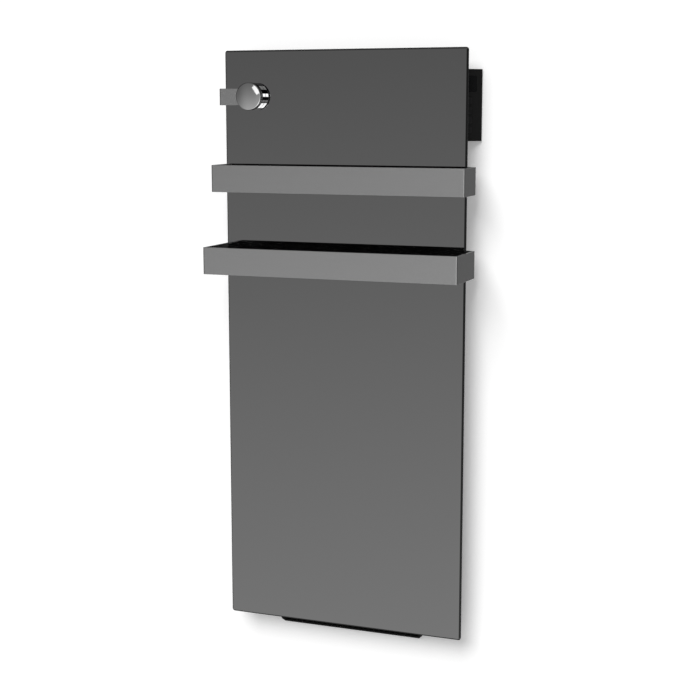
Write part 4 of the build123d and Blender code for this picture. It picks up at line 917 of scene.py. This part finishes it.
def outlet_frame(half_width, length):
    """Rim of the outlet in its own plane, with the two lower corners cut off."""
    outlet = settings().outlet
    cut, rim, edge = outlet.corner_cut, outlet.rim, OUTLET_ARRIS

    def outline(inset, corner):
        wide, high = half_width - inset, length / 2 - inset
        return [(-wide, high), (-wide, -high + corner), (-wide + corner, -high),
                (wide - corner, -high), (wide, -high + corner), (wide, high)]

    outer, inner = outline(0.0, cut), outline(rim, cut * 0.5)
    eased_outer, eased_inner = outline(edge, cut), outline(rim - edge, cut * 0.5)
    loops = ((outer, -outlet.wall), (outer, -edge), (eased_outer, 0.0), (eased_inner, 0.0),
             (inner, -edge), (inner, -outlet.wall))
    ring = bmesh.new()
    rows = [[ring.verts.new((x, y, depth)) for x, y in points] for points, depth in loops]
    for row, following in zip(rows, rows[1:] + rows[:1]):
        skin(ring, row, following)
    bmesh.ops.recalc_face_normals(ring, faces=ring.faces)
    return to_mesh(ring, "outlet_frame")


def rib_mesh(length):
    """One rib of the outlet with a rounded front."""
    outlet = settings().outlet
    half = outlet.rib_width / 2
    nose = arc((0.0, -half), half, 0, 180, 8)
    section = [(half, -outlet.wall)] + nose + [(-half, -outlet.wall)]
    ends = (-length / 2, length / 2)
    return to_mesh(loft([[(x, y, z) for x, z in section] for y in ends]), "rib")


def outlet_piece():
    """Slotted outlet on the raked foot of the rear cover."""
    outlet = settings().outlet
    run = GRILLE_HIGH.y - GRILLE_LOW.y
    rise, lean = math.cos(OUTLET_RAKE), math.sin(OUTLET_RAKE)
    length = (run - outlet.wall * rise) / lean
    front_middle = Vector((0.0, GRILLE_LOW.y + length / 2 * lean, GRILLE_LOW.z + length / 2 * rise))
    half_width = GRILLE_HIGH.x
    model = bpy.data.objects.new("rib_model", rib_mesh(length - 2 * outlet.rim + 2 * RIB_BITE))
    pitch = outlet.slot_pitch
    count = int((2 * half_width - OUTLET_MARGIN) / pitch) - 1
    mesh = grow(ribs_tree(), outlet_frame(half_width, length), {
        "Rib": model, "Count": count, "Start": ((1 - count) * pitch / 2, 0.0, 0.0),
        "Step": (pitch, 0.0, 0.0), "Place": front_middle,
        "Rake": (math.pi / 2 + OUTLET_RAKE, 0.0, 0.0), "Material": finish(outlet_black),
    })
    bpy.data.objects.remove(model)
    add_piece("outlet_ribs", mesh, "outlet_grille")


# Operators


class RADIATOR_OT_front_glass(bpy.types.Operator):
    """Make the mirror glass"""

    bl_idname = "radiator.front_glass"
    bl_label = "Front glass"

    def execute(self, context):
        glass_plate()
        return {"FINISHED"}


class RADIATOR_OT_towel_bars(bpy.types.Operator):
    """Bend the two towel bars round the glass"""

    bl_idname = "radiator.towel_bars"
    bl_label = "Towel bars"

    def execute(self, context):
        for node in ("upper_towel_bar", "lower_towel_bar"):
            strap_piece(node, bar_corners(node), node + "_bent")
        return {"FINISHED"}


class RADIATOR_OT_robe_hook(bpy.types.Operator):
    """Bend the hook strap and turn its chrome knob"""

    bl_idname = "radiator.robe_hook"
    bl_label = "Robe hook"

    def execute(self, context):
        strap_piece("hook_strap", hook_corners(), "hook_strap_bent")
        robe_knob()
        return {"FINISHED"}


class RADIATOR_OT_outlet(bpy.types.Operator):
    """Make the slotted air outlet"""

    bl_idname = "radiator.outlet"
    bl_label = "Air outlet"

    def execute(self, context):
        outlet_piece()
        return {"FINISHED"}


class RADIATOR_OT_screws(bpy.types.Operator):
    """Set the visible screws on their places"""

    bl_idname = "radiator.screws"
    bl_label = "Screws"

    def execute(self, context):
        bar_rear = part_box("upper_towel_bar")[1].y
        pan_head = screw_mesh()
        for node in ("strap_screws", "tray_fixing_screws"):
            screw_group(node, pan_head, bar_rear)
        return {"FINISHED"}


class RADIATOR_OT_finishes(bpy.types.Operator):
    """Give every other node its finish"""

    bl_idname = "radiator.finishes"
    bl_label = "Finishes"

    def execute(self, context):
        for make, nodes in DRESSED.items():
            for node in nodes:
                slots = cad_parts[node].data.materials
                slots.clear()
                slots.append(finish(make))
        return {"FINISHED"}


# Stage

# Out of the wall into the room
FORWARD = Vector((0, -1, 0))

# Camera that matches the photograph, in metres and degrees
CAMERA_PLACE = (1.00886, -2.71548, 0.40202)
CAMERA_TURN = (80.49, 0.0, 20.74)
CAMERA_SHIFT = (0.0077, 0.0055)

# Reach of the wall and the floor, the wall's gap behind the object, and their glow
STAGE_REACH, WALL_GAP = 4.0, 0.0005
WALL_GLOW, FLOOR_GLOW = 0.22, 0.05
# Strength of the key light; place, strength and spread of the back light
KEY_STRENGTH = 2.2
BACK_SOURCE, BACK_STRENGTH, BACK_SPREAD = (0.3, 0.8, 0.5), 1.6, math.radians(60)

# Even light that matt surfaces get from the studio
AMBIENT = 0.35
# Brightness of the studio by the height of the direction that metal and glass look into
STUDIO_HEIGHTS = (
    (-1.0, 0.05), (-0.85, 0.15), (-0.65, 1.0), (-0.5, 1.3), (-0.34, 1.0), (-0.12, 0.677),
    (0.04, 0.483), (0.3, 0.25), (1.0, 0.17),
)
# The same by the direction to the right, for what looks straight into the room
STUDIO_SIDES = (
    (-1.0, 0.125), (-0.8, 0.25), (-0.6, 0.52), (-0.5, 0.78), (-0.43, 0.87), (-0.27, 0.885),
    (-0.19, 1.0), (-0.12, 1.15), (-0.02, 1.25), (0.1, 1.3), (0.22, 1.8), (0.5, 2.0),
    (0.7, 0.8), (0.85, 0.12), (1.0, 0.11),
)
# The same behind the wall, and where one mirror shows another
INNER_SIDES = (
    (-1.0, 0.125), (-0.8, 0.27), (-0.6, 0.6), (-0.5, 0.82), (-0.43, 0.87), (-0.27, 0.885),
    (-0.19, 0.91), (-0.06, 0.72), (0.05, 0.4), (0.12, 0.12), (0.2, 0.04), (0.6, 0.04),
    (0.85, 0.1), (1.0, 0.11),
)
# Bright windows of the studio: turn, height, width, length and roll in degrees, brightness
WINDOWS = (
    (-13.0, 8.9, 7.6, 10.8, -38.0, 1.7),
    (150.0, -9.0, 120.0, 70.0, 0.0, 0.142),
)
# Where the edge of a window starts and ends, as shares of half its size
WINDOW_FADE = (1.12, 0.88)
# Windows that only the second of two mirrors shows, as the glass does behind the knob
INNER_WINDOWS = (
    (-3.5, 7.5, 17.0, 10.0, 0.0, 1.4),
    (5.0, -7.5, 16.0, 10.0, 0.0, 1.6),
    (23.0, 4.75, 20.0, 10.0, 0.0, 11.0),
    (2.5, -26.5, 21.0, 14.0, 0.0, 9.0),
    (4.0, 25.5, 15.0, 10.0, 0.0, 1.4),
    (18.5, -14.5, 13.0, 6.0, 0.0, 1.3),
)


def set_stops(ramp, stops):
    """Fill a colour ramp with (place, brightness) stops; a place runs from -1 to 1."""
    elements = ramp.color_ramp.elements
    while len(elements) < len(stops):
        elements.new(1.0)
    for element, (place, level) in zip(elements, stops):
        element.position = (place + 1) / 2
        element.color = (level, level, level, 1.0)


def studio_window(tree, direction, window):
    """Brightness of one rectangular window seen in a direction."""
    turn, height, width, length, roll, brightness = window
    ahead = Euler([math.radians(angle) for angle in (-height, roll, turn)], "YXZ").to_matrix()
    front = add_node(tree, "ShaderNodeVectorMath", {0: direction, 1: ahead @ FORWARD},
                     operation="DOT_PRODUCT")
    faced = add_node(tree, "ShaderNodeMath", {0: front.outputs["Value"], 1: 0.0},
                     operation="GREATER_THAN")
    seen = add_node(tree, "ShaderNodeMath", {0: faced.outputs[0], 1: brightness},
                    operation="MULTIPLY").outputs[0]
    for axis, size in ((Vector((1, 0, 0)), width), (Vector((0, 0, 1)), length)):
        across = add_node(tree, "ShaderNodeVectorMath", {0: direction, 1: ahead @ axis},
                          operation="DOT_PRODUCT")
        off = add_node(tree, "ShaderNodeMath", {0: across.outputs["Value"]}, operation="ABSOLUTE")
        half = math.sin(math.radians(size / 2))
        inside = add_node(tree, "ShaderNodeMapRange", {
            0: off.outputs[0], 1: half * WINDOW_FADE[0], 2: half * WINDOW_FADE[1], 3: 0.0, 4: 1.0,
        }, interpolation_type="SMOOTHSTEP")
        seen = add_node(tree, "ShaderNodeMath", {0: seen, 1: inside.outputs[0]},
                        operation="MULTIPLY").outputs[0]
    return seen


def studio_world():
    """White background, with a graded studio for metal and glass and even light for the rest."""
    world = bpy.data.worlds.new("White studio")
    bpy.context.scene.world = world
    tree = empty_tree(world)
    direction = add_node(tree, "ShaderNodeTexCoord").outputs["Generated"]
    parts = add_node(tree, "ShaderNodeSeparateXYZ", {0: direction})
    path = add_node(tree, "ShaderNodeLightPath")
    twice = add_node(tree, "ShaderNodeMath", {0: path.outputs["Glossy Depth"], 1: 1.5},
                     operation="GREATER_THAN")
    behind = add_node(tree, "ShaderNodeMath", {0: parts.outputs[1], 1: 0.0},
                      operation="GREATER_THAN")
    inner = add_node(tree, "ShaderNodeMath", {0: twice.outputs[0], 1: behind.outputs[0]},
                     operation="MAXIMUM")
    ramps = []
    for axis, stops in ((2, STUDIO_HEIGHTS), (0, STUDIO_SIDES), (0, INNER_SIDES)):
        place = add_node(tree, "ShaderNodeMapRange", {
            0: parts.outputs[axis], 1: -1.0, 2: 1.0, 3: 0.0, 4: 1.0})
        ramps.append(add_node(tree, "ShaderNodeValToRGB", {0: place.outputs[0]}))
        set_stops(ramps[-1], stops)
    heights, sides, inner_sides = (ramp.outputs[0] for ramp in ramps)
    side = add_node(tree, "ShaderNodeMix", {0: inner.outputs[0], 2: sides, 3: inner_sides})
    level = add_node(tree, "ShaderNodeMath", {0: heights, 1: side.outputs[0]},
                     operation="MULTIPLY").outputs[0]
    for windows, gate in ((WINDOWS, 1.0), (INNER_WINDOWS, twice.outputs[0])):
        for window in windows:
            level = add_node(tree, "ShaderNodeMath", {
                0: studio_window(tree, direction, window), 1: gate, 2: level,
            }, operation="MULTIPLY_ADD").outputs[0]
    mirrored = add_node(tree, "ShaderNodeMath", {
        0: path.outputs["Is Glossy Ray"], 1: path.outputs["Is Transmission Ray"],
    }, operation="MAXIMUM")
    even = add_node(tree, "ShaderNodeMix", {0: mirrored.outputs[0], 2: AMBIENT, 3: level})
    shown = add_node(tree, "ShaderNodeMix", {
        0: path.outputs["Is Camera Ray"], 2: even.outputs[0], 3: 1.0})
    background = add_node(tree, "ShaderNodeBackground", {
        "Color": linear("#FFFFFF"), "Strength": shown.outputs[0],
    })
    add_node(tree, "ShaderNodeOutputWorld", {0: background.outputs[0]})


def plaster(name, glow):
    """Matt white paint on the stage, with a small glow, seen from its front only."""
    material = bpy.data.materials.new(name)
    tree = empty_tree(material)
    paint = add_node(tree, "ShaderNodeBsdfDiffuse", {"Color": linear("#FFFFFF")})
    light = add_node(tree, "ShaderNodeEmission", {"Strength": glow})
    front = add_node(tree, "ShaderNodeAddShader", {0: paint.outputs[0], 1: light.outputs[0]})
    clear = add_node(tree, "ShaderNodeBsdfTransparent")
    side = add_node(tree, "ShaderNodeNewGeometry").outputs["Backfacing"]
    mixed = add_node(tree, "ShaderNodeMixShader", {
        0: side, 1: front.outputs[0], 2: clear.outputs[0],
    })
    add_node(tree, "ShaderNodeOutputMaterial", {0: mixed.outputs[0]})
    return material


def stage_sheet(name, corners, material):
    """Flat sheet of the stage that takes shadows but lights and mirrors nothing."""
    mesh = plain_mesh(name, corners, faces=[(0, 1, 2, 3)])
    mesh.materials.append(material)
    sheet = add_object(name, mesh)
    sheet.visible_diffuse = sheet.visible_glossy = sheet.visible_shadow = False


def sun(name, source, strength, spread):
    """Soft lamp far away in the direction of source."""
    lamp = bpy.data.lights.new(name, "SUN")
    lamp.energy = strength
    lamp.angle = spread
    holder = add_object(name, lamp)
    holder.rotation_euler = Vector(source).to_track_quat("Z", "Y").to_euler()
    holder.visible_glossy = False


class RADIATOR_OT_stage(bpy.types.Operator):
    """Set up the wall, the floor, the light and the camera"""

    bl_idname = "radiator.stage"
    bl_label = "Stage"

    def execute(self, context):
        stage = settings().stage
        scene = context.scene
        scene.view_settings.view_transform = "Standard"
        studio_world()
        wide, gap, low = STAGE_REACH, WALL_GAP, stage.floor_drop
        stage_sheet("wall", [(-wide, gap, low), (wide, gap, low), (wide, gap, wide),
                             (-wide, gap, wide)], plaster("White wall paint", WALL_GLOW))
        stage_sheet("floor", [(-wide, gap, low), (-wide, -wide, low), (wide, -wide, low),
                              (wide, gap, low)], plaster("Pale floor", FLOOR_GLOW))
        key = Euler((-stage.key_height, 0, -stage.key_turn)).to_matrix() @ FORWARD
        sun("key_light", key, KEY_STRENGTH, stage.key_spread)
        sun("back_light", BACK_SOURCE, BACK_STRENGTH, BACK_SPREAD)
        camera = bpy.data.cameras.new("camera")
        camera.lens = stage.lens
        camera.shift_x, camera.shift_y = CAMERA_SHIFT
        view = add_object("camera", camera)
        view.location = CAMERA_PLACE
        view.rotation_euler = [math.radians(angle) for angle in CAMERA_TURN]
        scene.camera = view
        return {"FINISHED"}


STEPS = (
    RADIATOR_OT_stage, RADIATOR_OT_front_glass, RADIATOR_OT_towel_bars, RADIATOR_OT_robe_hook,
    RADIATOR_OT_outlet, RADIATOR_OT_screws, RADIATOR_OT_finishes,
)


class RADIATOR_PT_panel(bpy.types.Panel):
    """Lists the steps that dress the radiator"""

    bl_label = "Glass towel radiator"
    bl_idname = "RADIATOR_PT_panel"
    bl_space_type = "VIEW_3D"
    bl_region_type = "UI"
    bl_category = "Radiator"

    def draw(self, context):
        for step in STEPS:
            self.layout.operator(step.bl_idname)


CLASSES = (
    GlassSettings, StrapSettings, KnobSettings, ScrewSettings, OutletSettings, FinishSettings,
    StageSettings, RadiatorSettings, *STEPS, RADIATOR_PT_panel,
)


def register():
    """Register the classes and the settings of the scene."""
    for item in CLASSES:
        bpy.utils.register_class(item)
    bpy.types.Scene.radiator = bpy.props.PointerProperty(type=RadiatorSettings)


def unregister():
    """Take the settings and the classes away again."""
    del bpy.types.Scene.radiator
    for item in reversed(CLASSES):
        bpy.utils.unregister_class(item)


def main():
    """Make every piece in order."""
    register()
    for step in STEPS:
        getattr(bpy.ops.radiator, step.bl_idname.split(".")[1])()


if __name__ == "__main__":
    main()
